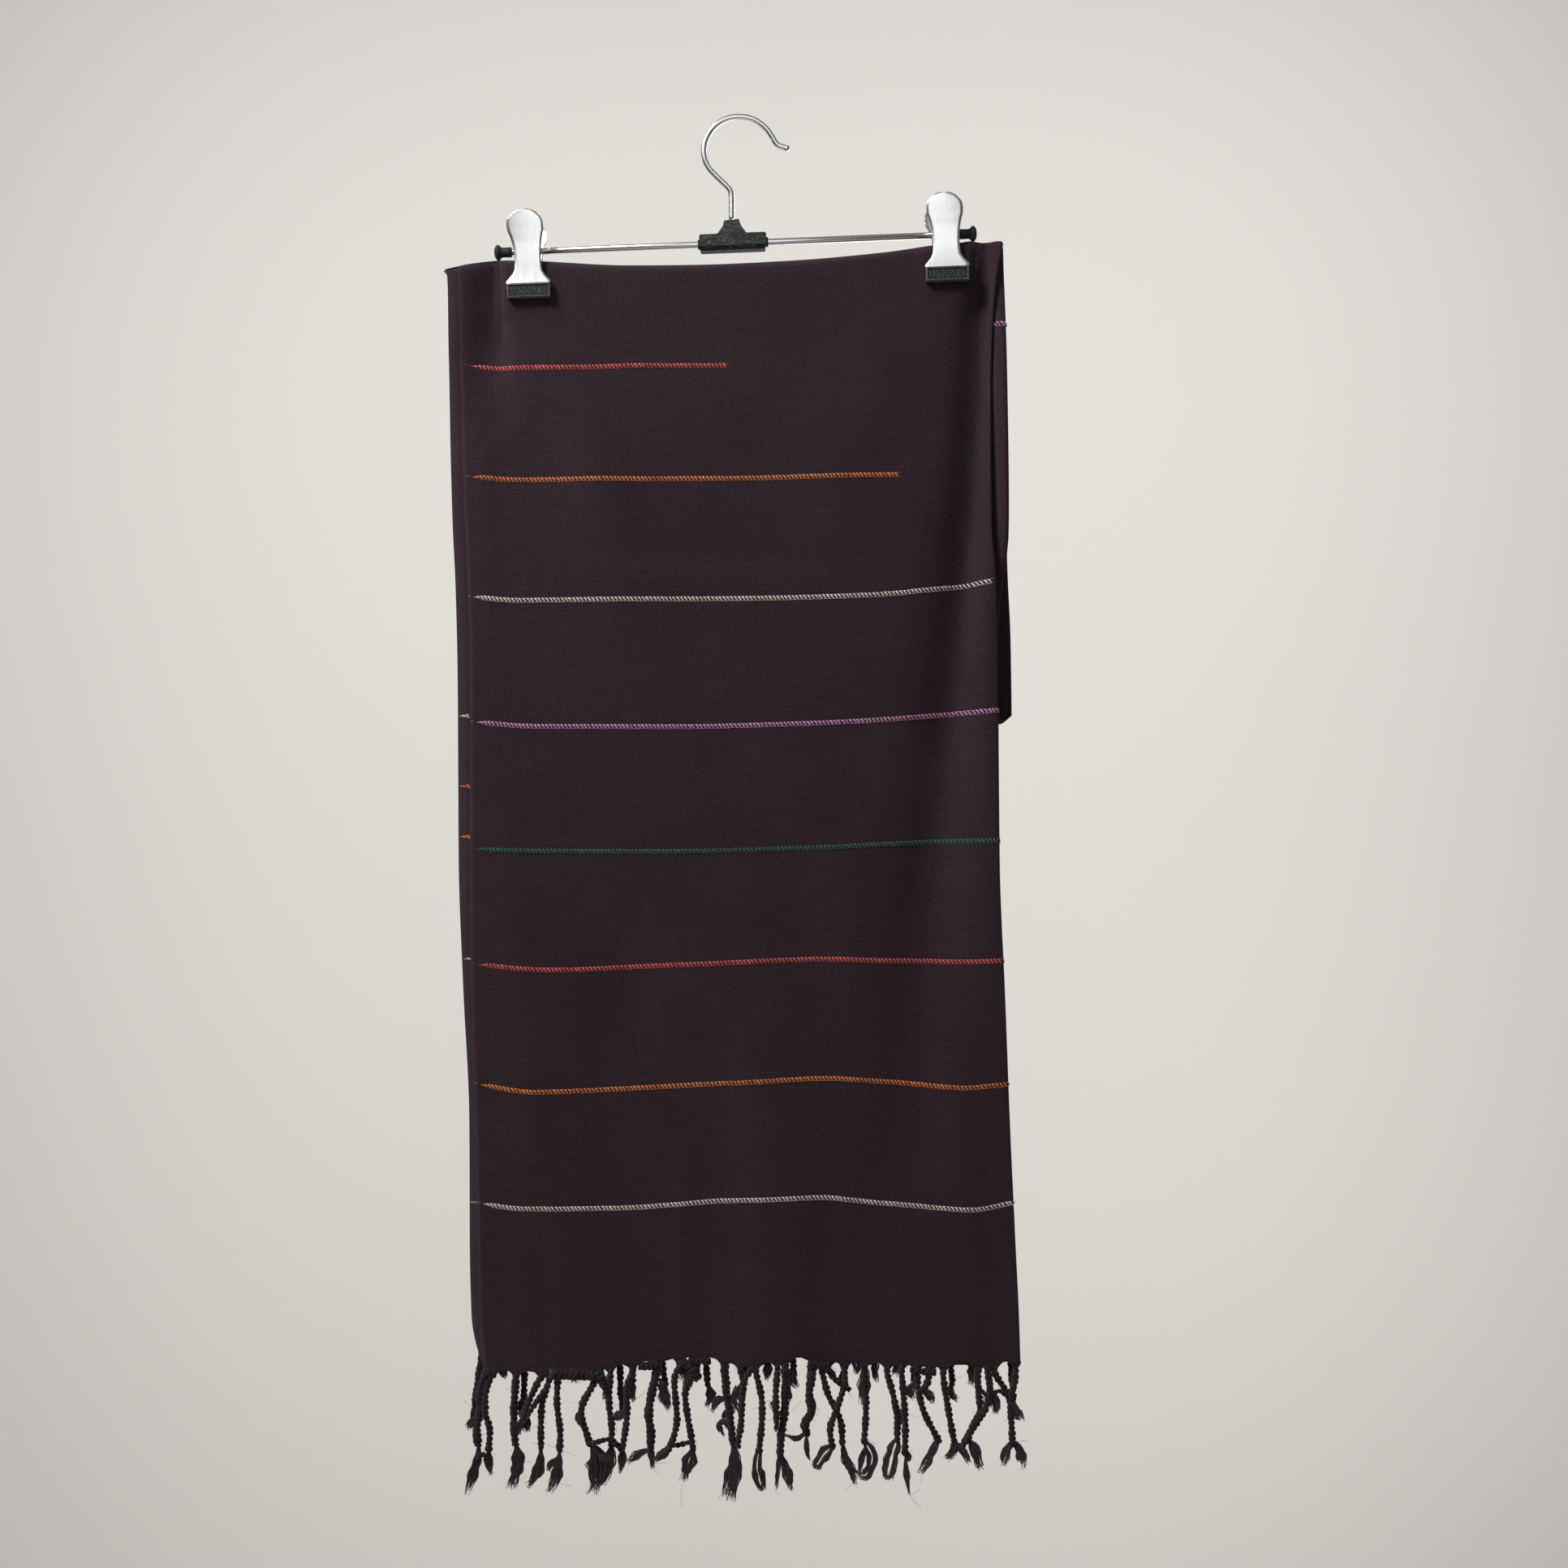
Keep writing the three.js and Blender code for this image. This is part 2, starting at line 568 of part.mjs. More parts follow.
// A three-sided tapering strand: each knot of it has a place, a width and a depth.
function strand(knots) {
  const points = knots.flatMap(({ place, width, depth }) => [
    vector(place.x - width, place.y + depth / 2, place.z),
    vector(place.x, place.y - depth, place.z),
    vector(place.x + width, place.y + depth / 2, place.z),
  ]);
  const faces = [[0, 1, 2]];
  for (let knot = 0; knot < knots.length - 1; knot += 1) {
    for (let side = 0; side < 3; side += 1) {
      const next = (side + 1) % 3;
      faces.push([knot * 3 + side, knot * 3 + side + 3, knot * 3 + next + 3, knot * 3 + next]);
    }
  }
  const last = (knots.length - 1) * 3;
  faces.push([last, last + 2, last + 1]);
  return bodyFromFaces(points, faces);
}

// One cord: a straight fall with a bend, a knot and a tuft. Its depth moves from the root's to
// its own level.
function cord({ root, bend, knot, tip, end, level }, bottom, rootY, levelStep) {
  const top = bottom(root) - ROOT_DROP;
  const hemY = rootY + drape(root, bottom(root));
  const leaving = (share) => THREE.MathUtils.smoothstep(share, 0, CORD_SHARES.bend);
  const knotAt = (x, share, width) => ({
    place: vector(x, hemY + levelStep * level * leaving(share), lerp(top, end, share)),
    width,
    depth: Math.min(width, CORD_RADIUS),
  });
  return strand([
    knotAt(root, 0, CORD_RADIUS),
    knotAt(bend, CORD_SHARES.bend, CORD_RADIUS),
    knotAt(knot, CORD_SHARES.knot, CORD_RADIUS),
    knotAt(lerp(knot, tip, TUFT_DRIFT), CORD_SHARES.tuft, TUFT_RADIUS),
    knotAt(tip, 1, TIP_RADIUS),
  ]);
}

function frontFringe() {
  const cords = FRONT_CORDS.map((row) => cord(row, hemZ, FRONT_CORD_Y, -CORD_LEVEL));
  return joined(hemStrip(FRONT_PLY, outerRadius, hemZ), ...cords);
}

function underFringe() {
  const cords = UNDER_CORDS.map((row, index) => {
    const bend = lerp(row.root, row.tip, UNDER_DRIFT.bend);
    const knot = lerp(row.root, row.tip, UNDER_DRIFT.knot);
    const level = UNDER_LEVEL + (index % 2);
    return cord({ ...row, bend, knot, level }, underHemZ, UNDER_CORD_Y, CORD_LEVEL);
  });
  return joined(hemStrip(UNDER_PLY, innerRadius, underHemZ), ...cords);
}

// ---- Hanger ----
// A point of the hook's ring, and the way the wire runs there.
function onRing(degrees) {
  const angle = THREE.MathUtils.degToRad(degrees);
  return vector(HOOK.x + HOOK.ring * Math.cos(angle), 0, HOOK.z + HOOK.ring * Math.sin(angle));
}

function alongRing(degrees) {
  const angle = THREE.MathUtils.degToRad(degrees);
  return vector(-Math.sin(angle), 0, Math.cos(angle));
}

// Two straight stretches of wire with a rounded bend between them.
function addBend(route, from, corner, to) {
  const before = corner.clone().lerp(from, HOOK.bend / corner.distanceTo(from));
  const after = corner.clone().lerp(to, HOOK.bend / corner.distanceTo(to));
  route.add(new THREE.LineCurve3(from, before));
  route.add(new THREE.QuadraticBezierCurve3(before, corner, after));
  route.add(new THREE.LineCurve3(after, to));
}

// The hook's centre line: the point's turned-up end, the ring, and the stem down into the boss.
function hookRoute() {
  const route = new THREE.CurvePath();
  const tip = vector(HOOK.tipX, 0, HOOK.tipZ);
  const knee = onRing(HOOK.rightEnd).addScaledVector(alongRing(HOOK.rightEnd), -HOOK.point);
  addBend(route, tip, knee, onRing(HOOK.rightEnd));

  const ringPoints = [];
  for (let degrees = HOOK.rightEnd; degrees < HOOK.leftEnd; degrees += RING_STEP) {
    ringPoints.push(onRing(degrees));
  }
  const ringLeft = onRing(HOOK.leftEnd);
  route.add(new THREE.CatmullRomCurve3([...ringPoints, ringLeft]));

  const slope = alongRing(HOOK.leftEnd);
  const corner = ringLeft.clone().addScaledVector(slope, (HOOK.stemX - ringLeft.x) / slope.x);
  const footZ = BAR.z + BOSS.height / 2 + NECK.height - NECK.socket + SEAM;
  addBend(route, ringLeft, corner, vector(HOOK.stemX, 0, footZ));
  return route;
}

function hookBody() {
  const wire = new THREE.Shape().absarc(0, 0, HOOK.wire, 0, 2 * Math.PI);
  const tube = new THREE.ExtrudeGeometry(wire, {
    steps: HOOK_STEPS,
    curveSegments: WIRE_SIDES / 2,
    bevelEnabled: false,
    extrudePath: hookRoute(),
  });
  const knob = new THREE.SphereGeometry(HOOK.knob, WIRE_SIDES, KNOB_ROWS);
  knob.scale(HOOK.knobFlat, 1, 1);
  knob.translate(HOOK.tipX, 0, HOOK.tipZ);
  return joined(tube, knob);
}

// A rod along X, or a rod with a hole, made by turning a profile of radius and length.
function turnedAlongX(profile, sides) {
  const outline = profile.map(({ radius, x }) => new THREE.Vector2(radius, x));
  const lathe = new THREE.LatheGeometry(outline, sides);
  lathe.rotateZ(-Math.PI / 2);
  return lathe;
}

// A plate of an outline in X and Z, with its thickness along Y, set about Y = 0.
function plate(outline, thick, curveSegments = 3) {
  const geometry = new THREE.ExtrudeGeometry(outline, { depth: thick, bevelEnabled: false, curveSegments });
  geometry.rotateX(Math.PI / 2);
  geometry.translate(0, thick / 2, 0);
  return geometry;
}

// A plate with rounded corners.
function roundedPlate({ width, height, thick, round }) {
  const shape = new THREE.Shape();
  const [w, h] = [width / 2, height / 2];
  shape.moveTo(-w + round, -h);
  shape.lineTo(w - round, -h);
  shape.absarc(w - round, -h + round, round, -Math.PI / 2, 0);
  shape.absarc(w - round, h - round, round, 0, Math.PI / 2);
  shape.absarc(-w + round, h - round, round, Math.PI / 2, Math.PI);
  shape.absarc(-w + round, -h + round, round, Math.PI, 1.5 * Math.PI);
  return plate(shape, thick);
}

function barRod(radius, length) {
  return turnedAlongX([
    { radius: 0, x: -length / 2 },
    { radius, x: -length / 2 },
    { radius, x: length / 2 },
    { radius: 0, x: length / 2 },
  ], ROUND_SIDES);
}

// The boss: a block on the bar with a tapering neck for the hook's stem.
function bossBody() {
  const right = [
    new THREE.Vector2(NECK.base, -SEAM),
    new THREE.Vector2(NECK.waist, NECK.waistHeight),
    new THREE.Vector2(NECK.top, NECK.height),
  ];
  const left = right.map((point) => new THREE.Vector2(-point.x, point.y)).reverse();
  const neck = plate(new THREE.Shape([...right, ...left]), NECK.depth);
  // The boss leans with the bar while the stem hangs plumb, so the neck is set to meet the stem.
  const stemHeight = BOSS.height / 2 + NECK.height - NECK.socket / 2;
  const neckX = HOOK.stemX - BAR.x + Math.sin(HANGER_TILT) * stemHeight;
  neck.translate(neckX, 0, BOSS.height / 2);
  const bore = HOOK.wire + NECK.clearance;
  const socket = new THREE.CylinderGeometry(bore, bore, NECK.socket * 2, ROUND_SIDES);
  socket.rotateX(Math.PI / 2);
  socket.translate(neckX, 0, BOSS.height / 2 + NECK.height);
  const block = roundedPlate({ ...BOSS, thick: BOSS.depth });
  return cut(joined(block, neck), barRod(BAR.radius + SEAM, BOSS.width * 2), socket);
}

// A rubber end cap, open towards the bar: a plain sleeve with a flared lip.
function capBody() {
  const bore = BAR.radius + SEAM;
  return turnedAlongX([
    { radius: 0, x: CAP.length - CAP.floor },
    { radius: bore, x: CAP.length - CAP.floor },
    { radius: bore, x: 0 },
    { radius: CAP.body, x: 0 },
    { radius: CAP.body, x: CAP.flare },
    { radius: CAP.flange, x: CAP.lip },
    { radius: CAP.flange, x: CAP.edge },
    { radius: CAP.body, x: CAP.length },
    { radius: 0, x: CAP.length },
  ], ROUND_SIDES);
}

// A lever's outline seen from the front: thumb lobe, neck and jaw.
function leverOutline() {
  const right = LEVER_OUTLINE.map(({ z, half }) => new THREE.Vector2(half, z));
  const left = [...right].reverse().map((point) => new THREE.Vector2(-point.x, point.y));
  const outline = new THREE.Shape();
  outline.moveTo(right[0].x, right[0].y);
  outline.splineThru(right.slice(1));
  outline.lineTo(left[0].x, left[0].y);
  outline.splineThru(left.slice(1));
  return outline;
}

// A side view's outline (Y across, Z up) given thickness along X.
function sidePlate(shape, thick) {
  const geometry = plate(shape, thick, 4);
  geometry.rotateZ(Math.PI / 2);
  return geometry;
}

// A cheek holds the lever on the bar.
function cheek(x) {
  const shape = new THREE.Shape();
  shape.moveTo(-LEVER_BACK, -CHEEK.eye - CHEEK.root);
  shape.lineTo(0, -CHEEK.eye);
  shape.absarc(0, 0, CHEEK.eye, -Math.PI / 2, Math.PI / 2);
  shape.lineTo(-LEVER_BACK, CHEEK.eye + CHEEK.root);
  shape.holes.push(new THREE.Path().absarc(0, 0, CHEEK.hole, 0, 2 * Math.PI));
  const geometry = sidePlate(shape, CHEEK.thick);
  geometry.translate(x, 0, 0);
  return geometry;
}

// A lever: a bowed sheet trimmed to its outline, with two cheeks on the bar.
function leverBody(cheekX) {
  const bow = new THREE.SplineCurve(LEVER_BOW.map(({ z, y }) => new THREE.Vector2(-y, z)))
    .getPoints(BOW_STEPS);
  const back = bow.map((point) => new THREE.Vector2(point.x + LEVER.sheet, point.y)).reverse();
  const blank = sidePlate(new THREE.Shape([...bow, ...back]), LEVER.blank);
  const sheet = common(blank, plate(leverOutline(), 2 * LEVER.reach, 2));
  return joined(sheet, cheek(-cheekX), cheek(cheekX));
}

function springSleeve() {
  const half = SPRING.length / 2;
  return turnedAlongX([
    { radius: SPRING.inner, x: -half },
    { radius: SPRING.outer, x: -half },
    { radius: SPRING.outer, x: half },
    { radius: SPRING.inner, x: half },
    { radius: SPRING.inner, x: -half },
  ], ROUND_SIDES);
}

// ---- Assembly ----
function named(name, geometry, finish) {
  const mesh = new THREE.Mesh(geometry, new THREE.MeshStandardMaterial(FINISHES[finish]));
  mesh.name = name;
  return mesh;
}

function clip({ name, x }) {
  const group = new THREE.Group();
  group.position.x = x;
  const padY = -SEAM / 2 - PACK_RADIUS - SEAM - PAD.thick / 2;
  ['front', 'rear'].forEach((side) => {
    const half = new THREE.Group();
    half.rotation.z = side === 'front' ? 0 : Math.PI;
    half.add(named(`clip_${name}_${side}_lever`, leverBody(CHEEK[side]), 'steel'));
    const pad = named(`clip_${name}_${side}_pad`, roundedPlate(PAD), 'rubber');
    pad.position.set(0, padY, PAD.top - PAD.height / 2);
    half.add(pad);
    group.add(half);
  });
  group.add(named(`clip_${name}_spring`, springSleeve(), 'steel'));
  return group;
}

function hangerFrame() {
  const frame = new THREE.Group();
  frame.position.set(BAR.x, 0, BAR.z);
  frame.rotation.y = -HANGER_TILT;
  const bar = named('bar', barRod(BAR.radius, BAR.length), 'chrome');
  bar.position.x = BAR.shift;
  frame.add(bar);
  frame.add(named('boss', bossBody(), 'plastic'));
  ['left', 'right'].forEach((name) => {
    const cap = named(`cap_${name}`, capBody(), 'rubber');
    const outward = name === 'left' ? -1 : 1;
    cap.rotation.z = name === 'left' ? Math.PI : 0;
    cap.position.x = BAR.shift + outward * (BAR.length / 2 + CAP.floor + SEAM - CAP.length);
    frame.add(cap);
  });
  CLIPS.forEach((place) => frame.add(clip(place)));
  return frame;
}

const stole = new THREE.Group();
stole.add(named('hook', hookBody(), 'chrome'));
stole.add(hangerFrame());
stole.add(named('front_ply', hangingPly(FRONT_PLY, outerRadius, hemZ), 'cloth'));
stole.add(named('under_ply', hangingPly(UNDER_PLY, innerRadius, underHemZ), 'cloth'));
stole.add(named('back_flap', backFlap(), 'cloth'));
stole.add(named('fringe_front', frontFringe(), 'cloth'));
stole.add(named('fringe_under', underFringe(), 'cloth'));

export default stole;
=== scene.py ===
"""Looks of a fringed stole, folded and held by the two clips of a metal hanger.

Tables and shapes are in millimetres, +Z up, front towards -Y; meshes are made in metres.
"""

import math

import bpy
import numpy as np
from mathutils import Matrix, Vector


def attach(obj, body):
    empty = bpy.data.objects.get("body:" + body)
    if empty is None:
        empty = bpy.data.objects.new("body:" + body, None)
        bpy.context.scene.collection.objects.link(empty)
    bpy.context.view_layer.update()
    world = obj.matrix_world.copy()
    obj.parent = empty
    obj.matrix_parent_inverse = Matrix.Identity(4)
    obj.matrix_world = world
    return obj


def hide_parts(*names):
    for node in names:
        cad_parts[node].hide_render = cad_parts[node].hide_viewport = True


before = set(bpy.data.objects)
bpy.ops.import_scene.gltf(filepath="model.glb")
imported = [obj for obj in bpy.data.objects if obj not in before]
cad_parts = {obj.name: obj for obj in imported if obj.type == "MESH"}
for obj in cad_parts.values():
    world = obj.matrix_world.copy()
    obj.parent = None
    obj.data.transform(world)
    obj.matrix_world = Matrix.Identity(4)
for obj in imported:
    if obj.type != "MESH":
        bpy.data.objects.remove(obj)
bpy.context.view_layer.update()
MM = 0.001
rng = np.random.default_rng(41)


# ---- Numbers and curves ----
def smoothstep(value, low, high):
    t = np.clip((np.asarray(value, float) - low) / (high - low), 0, 1)
    return t * t * (3 - 2 * t)


def lerp(a, b, t):
    return a + (b - a) * t


def table(columns, *rows):
    """A table's rows, each with the named columns."""
    return [dict(zip(columns.split(), row)) for row in rows]


def curve(rows, key, value):
    """A smooth line through a table's rows that doesn't overshoot them."""
    rows = sorted(rows, key=lambda row: row[key])
    x = np.array([row[key] for row in rows], float)
    y = np.array([row[value] for row in rows], float)
    step = np.diff(x)
    slope = np.diff(y) / step
    tangent = np.zeros(len(x))
    same = slope[:-1] * slope[1:] > 0
    inner = np.zeros(len(x) - 2)
    inner[same] = 2 * slope[:-1][same] * slope[1:][same] / (slope[:-1] + slope[1:])[same]
    tangent[1:-1] = inner
    tangent[0], tangent[-1] = slope[0], slope[-1]

    def line(at):
        at = np.clip(np.asarray(at, float), x[0], x[-1])
        i = np.clip(np.searchsorted(x, at) - 1, 0, len(step) - 1)
        t = (at - x[i]) / step[i]
        return (
            y[i] * (1 + 2 * t) * (1 - t) ** 2
            + tangent[i] * step[i] * t * (1 - t) ** 2
            + y[i + 1] * t * t * (3 - 2 * t)
            + tangent[i + 1] * step[i] * t * t * (t - 1)
        )

    return line


def through(points, spacing):
    """A smooth route through points, sampled about every spacing."""
    p = np.asarray(points, float)
    ends = [2 * p[0] - p[1], *p, 2 * p[-1] - p[-2]]
    route = []
    for a, b, c, d in zip(ends, ends[1:], ends[2:], ends[3:]):
        count = max(2, int(np.linalg.norm(c - b) / spacing) + 1)
        t = np.linspace(0, 1, count, endpoint=False)[:, None]
        bend = (2 * a - 5 * b + 4 * c - d) * t**2
        route.append(0.5 * (2 * b + (c - a) * t + bend + (3 * b - a - 3 * c + d) * t**3))
    return np.vstack([*route, p[-1:]])


def arc_lengths(route):
    """Distance along a route at each of its points."""
    return np.concatenate([[0], np.cumsum(np.linalg.norm(np.diff(route, axis=0), axis=1))])


def two_spacings(change, before, after):
    """Shares from 0 to 1, some of them before the change and the rest from it on."""
    return np.concatenate([np.linspace(0, change, before, endpoint=False), np.linspace(change, 1, after)])


# ---- Meshes ----
YARN_UP = (0.03, 1, 0.02)


class Parts:
    """Points and faces of many small forms that make one piece."""

    def __init__(self):
        self.points, self.faces, self.count = [], [], 0

    def add(self, points, *faces):
        points = np.asarray(points, float).reshape(-1, 3)
        self.points.append(points)
        self.faces += [(np.asarray(f) + self.count).tolist() for f in faces]
        self.count += len(points)


def grid_faces(rows, columns, wrap=False):
    """Four-sided faces of a grid of points; wrap joins the last column to the first."""
    across = columns if wrap else columns - 1
    r, c = np.meshgrid(np.arange(rows - 1), np.arange(across), indexing="ij")
    n = (c + 1) % columns
    corners = [r * columns + c, r * columns + n, (r + 1) * columns + n, (r + 1) * columns + c]
    return np.stack(corners, -1).reshape(-1, 4)


def end_faces(first, sides):
    """A many-sided face over a ring of points that starts at a number."""
    return [[first + i for i in range(sides)]]


def frames(route, reference):
    """Directions to a route's side and up from it."""
    tangent = np.gradient(route, axis=0)
    tangent /= np.linalg.norm(tangent, axis=1, keepdims=True) + 1e-12
    side = np.cross(tangent, reference)
    side /= np.linalg.norm(side, axis=1, keepdims=True) + 1e-12
    return side, np.cross(side, tangent)


def add_tube(parts, route, radius, sides, reference=YARN_UP, flat=1.0):
    """A round tube along a route; flat squeezes it along the reference."""
    route = np.asarray(route, float)
    side, up = frames(route, reference)
    radius = np.broadcast_to(np.asarray(radius, float), len(route))[:, None, None]
    angle = np.arange(sides) * 2 * math.pi / sides
    across, upward = np.cos(angle)[:, None], flat * np.sin(angle)[:, None]
    ring = across * side[:, None] + upward * up[:, None]
    last = (len(route) - 1) * sides
    ends = [np.fliplr(end_faces(0, sides)), end_faces(last, sides)]
    parts.add(route[:, None] + radius * ring, grid_faces(len(route), sides, wrap=True), *ends)


def add_turned(parts, profile, sides, place, closed=False):
    """A profile of (along x, radius) turned about the x axis, then put in place."""
    profile = np.asarray(profile, float)
    angle = np.arange(sides) * 2 * math.pi / sides
    x = np.broadcast_to(profile[:, :1], (len(profile), sides))
    points = np.stack([x, profile[:, 1:] * np.cos(angle), profile[:, 1:] * np.sin(angle)], -1)
    faces = [grid_faces(len(profile), sides, wrap=True)]
    if not closed:
        faces += [np.fliplr(end_faces(0, sides)), end_faces((len(profile) - 1) * sides, sides)]
    parts.add(place(points.reshape(-1, 3)), *faces)


def shown(name, data):
    """An object in the scene."""
    made = bpy.data.objects.new(name, data)
    bpy.context.scene.collection.objects.link(made)
    return made


def piece(name, parts, material, stands_for=(), uv=None):
    """One shown piece on the root body."""
    mesh = bpy.data.meshes.new(name)
    faces = [face for group in parts.faces for face in group]
    mesh.from_pydata((np.vstack(parts.points) * MM).tolist(), [], faces)
    mesh.validate()
    mesh.polygons.foreach_set("use_smooth", [True] * len(mesh.polygons))
    if uv is not None:
        layer = mesh.uv_layers.new(name="weave")
        corner = np.zeros(len(mesh.loops), int)
        mesh.loops.foreach_get("vertex_index", corner)
        layer.data.foreach_set("uv", uv[corner].astype(np.float32).ravel())
    mesh.update()
    mesh.materials.append(material)
    made = shown(name, mesh)
    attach(made, "root")
    if stands_for:
        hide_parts(*stands_for)
    return made


def round_edges(made, width, segments, angle):
    bevel = made.modifiers.new("rounded", "BEVEL")
    bevel.width, bevel.segments = width * MM, segments
    bevel.limit_method, bevel.angle_limit = "ANGLE", math.radians(angle)
    made.modifiers.new("normals", "WEIGHTED_NORMAL").keep_sharp = True


# ---- Materials ----
class Paint:
    """Builds the nodes of a material or a world."""

    def __init__(self, owner):
        owner.use_nodes = True
        self.tree = owner.node_tree
        self.shader = self.tree.nodes.get("Principled BSDF")

    def put(self, node, inputs):
        """Links outputs to a node's inputs, or sets them to numbers, directions or colours."""
        for name, value in inputs.items():
            socket = node.inputs[name]
            if isinstance(value, bpy.types.NodeSocket):
                self.tree.links.new(value, socket)
            else:
                socket.default_value = (*value, 1) if socket.type == "RGBA" else value

    def node(self, kind, inputs=None, **settings):
        made = self.tree.nodes.new(f"ShaderNode{kind}")
        for name, value in settings.items():
            setattr(made, name, value)
        self.put(made, inputs or {})
        return made

    def place(self, kind="Object"):
        return self.node("TexCoord").outputs[kind]

    def noise(self, source, scale, detail=3.0, stretch=None):
        """The factor of a noise texture on a coordinate output."""
        if stretch:
            source = self.node("Mapping", {"Vector": source, "Scale": stretch}).outputs["Vector"]
        return self.node("TexNoise", {"Vector": source, "Scale": scale, "Detail": detail}).outputs["Fac"]

    def spread(self, value, low, high, from_low=0.3, from_high=0.7):
        """Maps a factor onto a range."""
        limits = {"From Min": from_low, "From Max": from_high, "To Min": low, "To Max": high}
        return self.node("MapRange", {"Value": value, **limits}).outputs["Result"]

    def speckle(self, source, scale, low, high, detail=3.0, stretch=None):
        """Noise mapped onto a range."""
        return self.spread(self.noise(source, scale, detail, stretch), low, high)

    def combine(self, operation, *values):
        return self.node("Math", dict(enumerate(values)), operation=operation).outputs[0]

    def times(self, a, b):
        return self.combine("MULTIPLY", a, b)

    def plus(self, a, b):
        return self.combine("ADD", a, b)

    def tinted(self, factor, dark, light):
        """A colour between two colours."""
        inputs = {"A": dark, "B": light, "Factor": factor}
        return self.node("Mix", inputs, data_type="RGBA").outputs["Result"]

    def shade(self, inputs):
        self.put(self.shader, inputs)

    def bump(self, height, distance, strength=1.0):
        made = self.node("Bump", {"Height": height, "Distance": distance, "Strength": strength})
        self.shade({"Normal": made.outputs["Normal"]})


def painted(name):
    """A new material, and what builds its nodes."""
    material = bpy.data.materials.new(name)
    return material, Paint(material)


def metal(name, colour, roughness, grain, stretch=(1, 1, 1)):
    """Bright metal with streaks of rougher grain, drawn out by stretch, and faint smears."""
    material, paint = painted(name)
    place = paint.place()
    streaks = paint.noise(place, 900, 4, stretch)
    smears = paint.speckle(place, 60, 0, grain * 0.6)
    rough = paint.plus(paint.spread(streaks, roughness, roughness + grain), smears)
    paint.shade({"Metallic": 1.0, "Base Color": colour, "Roughness": rough})
    paint.bump(streaks, 0.00001, 0.12)
    return material


def moulded(name, colour, light, roughness, bump, toned=False):
    """Plastic or rubber with scuffs; the last flag darkens it with painted shade where the mesh's tone is
    low.
    """
    material, paint = painted(name)
    place = paint.place()
    grain = paint.noise(place, 2600, 2)
    dust = paint.spread(paint.noise(place, 170, 5), 0.25, 1, 0.35, 0.65)
    scuffs = paint.spread(paint.noise(place, 1, 4, (500, 500, 1500)), 0, 1, 0.46, 0.66)
    dust_and_shade = paint.times(dust, scuffs)
    # With the flag, the mesh's tone paints shade into the dust and scuffs.
    if toned:
        tone = paint.node("Attribute", attribute_name="tone").outputs["Fac"]
        dust_and_shade = paint.times(tone, paint.plus(dust_and_shade, 0.45))
    paint.shade({
        "Base Color": paint.tinted(dust_and_shade, colour, light), "Specular IOR Level": 0.3,
        "Roughness": paint.spread(grain, roughness - 0.06, roughness + 0.1),
    })
    paint.bump(grain, bump)
    return material


def plain_weave(paint, uv, yarn):
    """Height of a plain weave: warp and weft in turn on top."""
    across, along, _ = paint.node("SeparateXYZ", {"Vector": uv}).outputs
    waves = [paint.combine("SINE", paint.times(axis, math.pi / yarn)) for axis in (across, along)]
    lifted = paint.combine("GREATER_THAN", paint.times(*waves), 0.0)
    warp, weft = (paint.combine("ABSOLUTE", wave) for wave in waves)
    return paint.node("Mix", {"Factor": lifted, "A": warp, "B": weft}).outputs["Result"]


def woven(name, dark, light, yarn):
    """Fine brushed cloth: a plain weave of heathered yarn, faint streaks along both threads, nap."""
    material, paint = painted(name)
    uv = paint.node("UVMap", uv_map="weave").outputs["UV"]
    weave = plain_weave(paint, uv, yarn)
    fibres = paint.noise(uv, 1500, 3)
    heather = paint.noise(uv, 850, 4)
    tone = paint.spread(heather, 0.55, 1.52)
    for other in (
        paint.spread(fibres, 0.74, 1.27),
        paint.speckle(uv, 1, 0.88, 1.14, 3, (45, 900, 1)),
        paint.speckle(uv, 1, 0.92, 1.09, 3, (900, 40, 1)),
        paint.speckle(uv, 22, 0.93, 1.08),
        paint.spread(weave, 0.8, 1.08, 0, 1),
    ):
        tone = paint.times(tone, other)
    hue = paint.node("HueSaturation", {
        "Color": paint.tinted(paint.spread(tone, 0, 1, 0.2, 2.0), dark, light),
        "Hue": paint.speckle(uv, 260, 0.485, 0.515), "Saturation": paint.speckle(uv, 9, 0.85, 1.15, 2),
    })
    paint.shade({
        "Base Color": hue.outputs["Color"], "Roughness": 0.93, "Specular IOR Level": 0.18,
        "Sheen Weight": 0.10, "Sheen Roughness": 0.5, "Sheen Tint": (0.95, 0.70, 0.84),
    })
    height = paint.plus(weave, paint.times(fibres, 1.3))
    paint.bump(paint.plus(height, paint.times(heather, 0.6)), 0.00022, 0.8)
    return material


def spun(name, dark, light, sheen=0.3, roughness=0.85, scale=900):
    """Yarn: fibres of uneven tone, a little sheen."""
    material, paint = painted(name)
    place = paint.place()
    fibres = paint.noise(place, scale, 4)
    both = paint.plus(paint.times(fibres, 0.7), paint.times(paint.noise(place, 120, 3), 0.3))
    paint.shade({
        "Base Color": paint.tinted(paint.spread(both, 0, 1, 0.36, 0.66), dark, light),
        "Roughness": roughness, "Specular IOR Level": 0.25, "Sheen Weight": sheen, "Sheen Roughness": 0.4,
    })
    paint.bump(fibres, 0.0001)
    return material


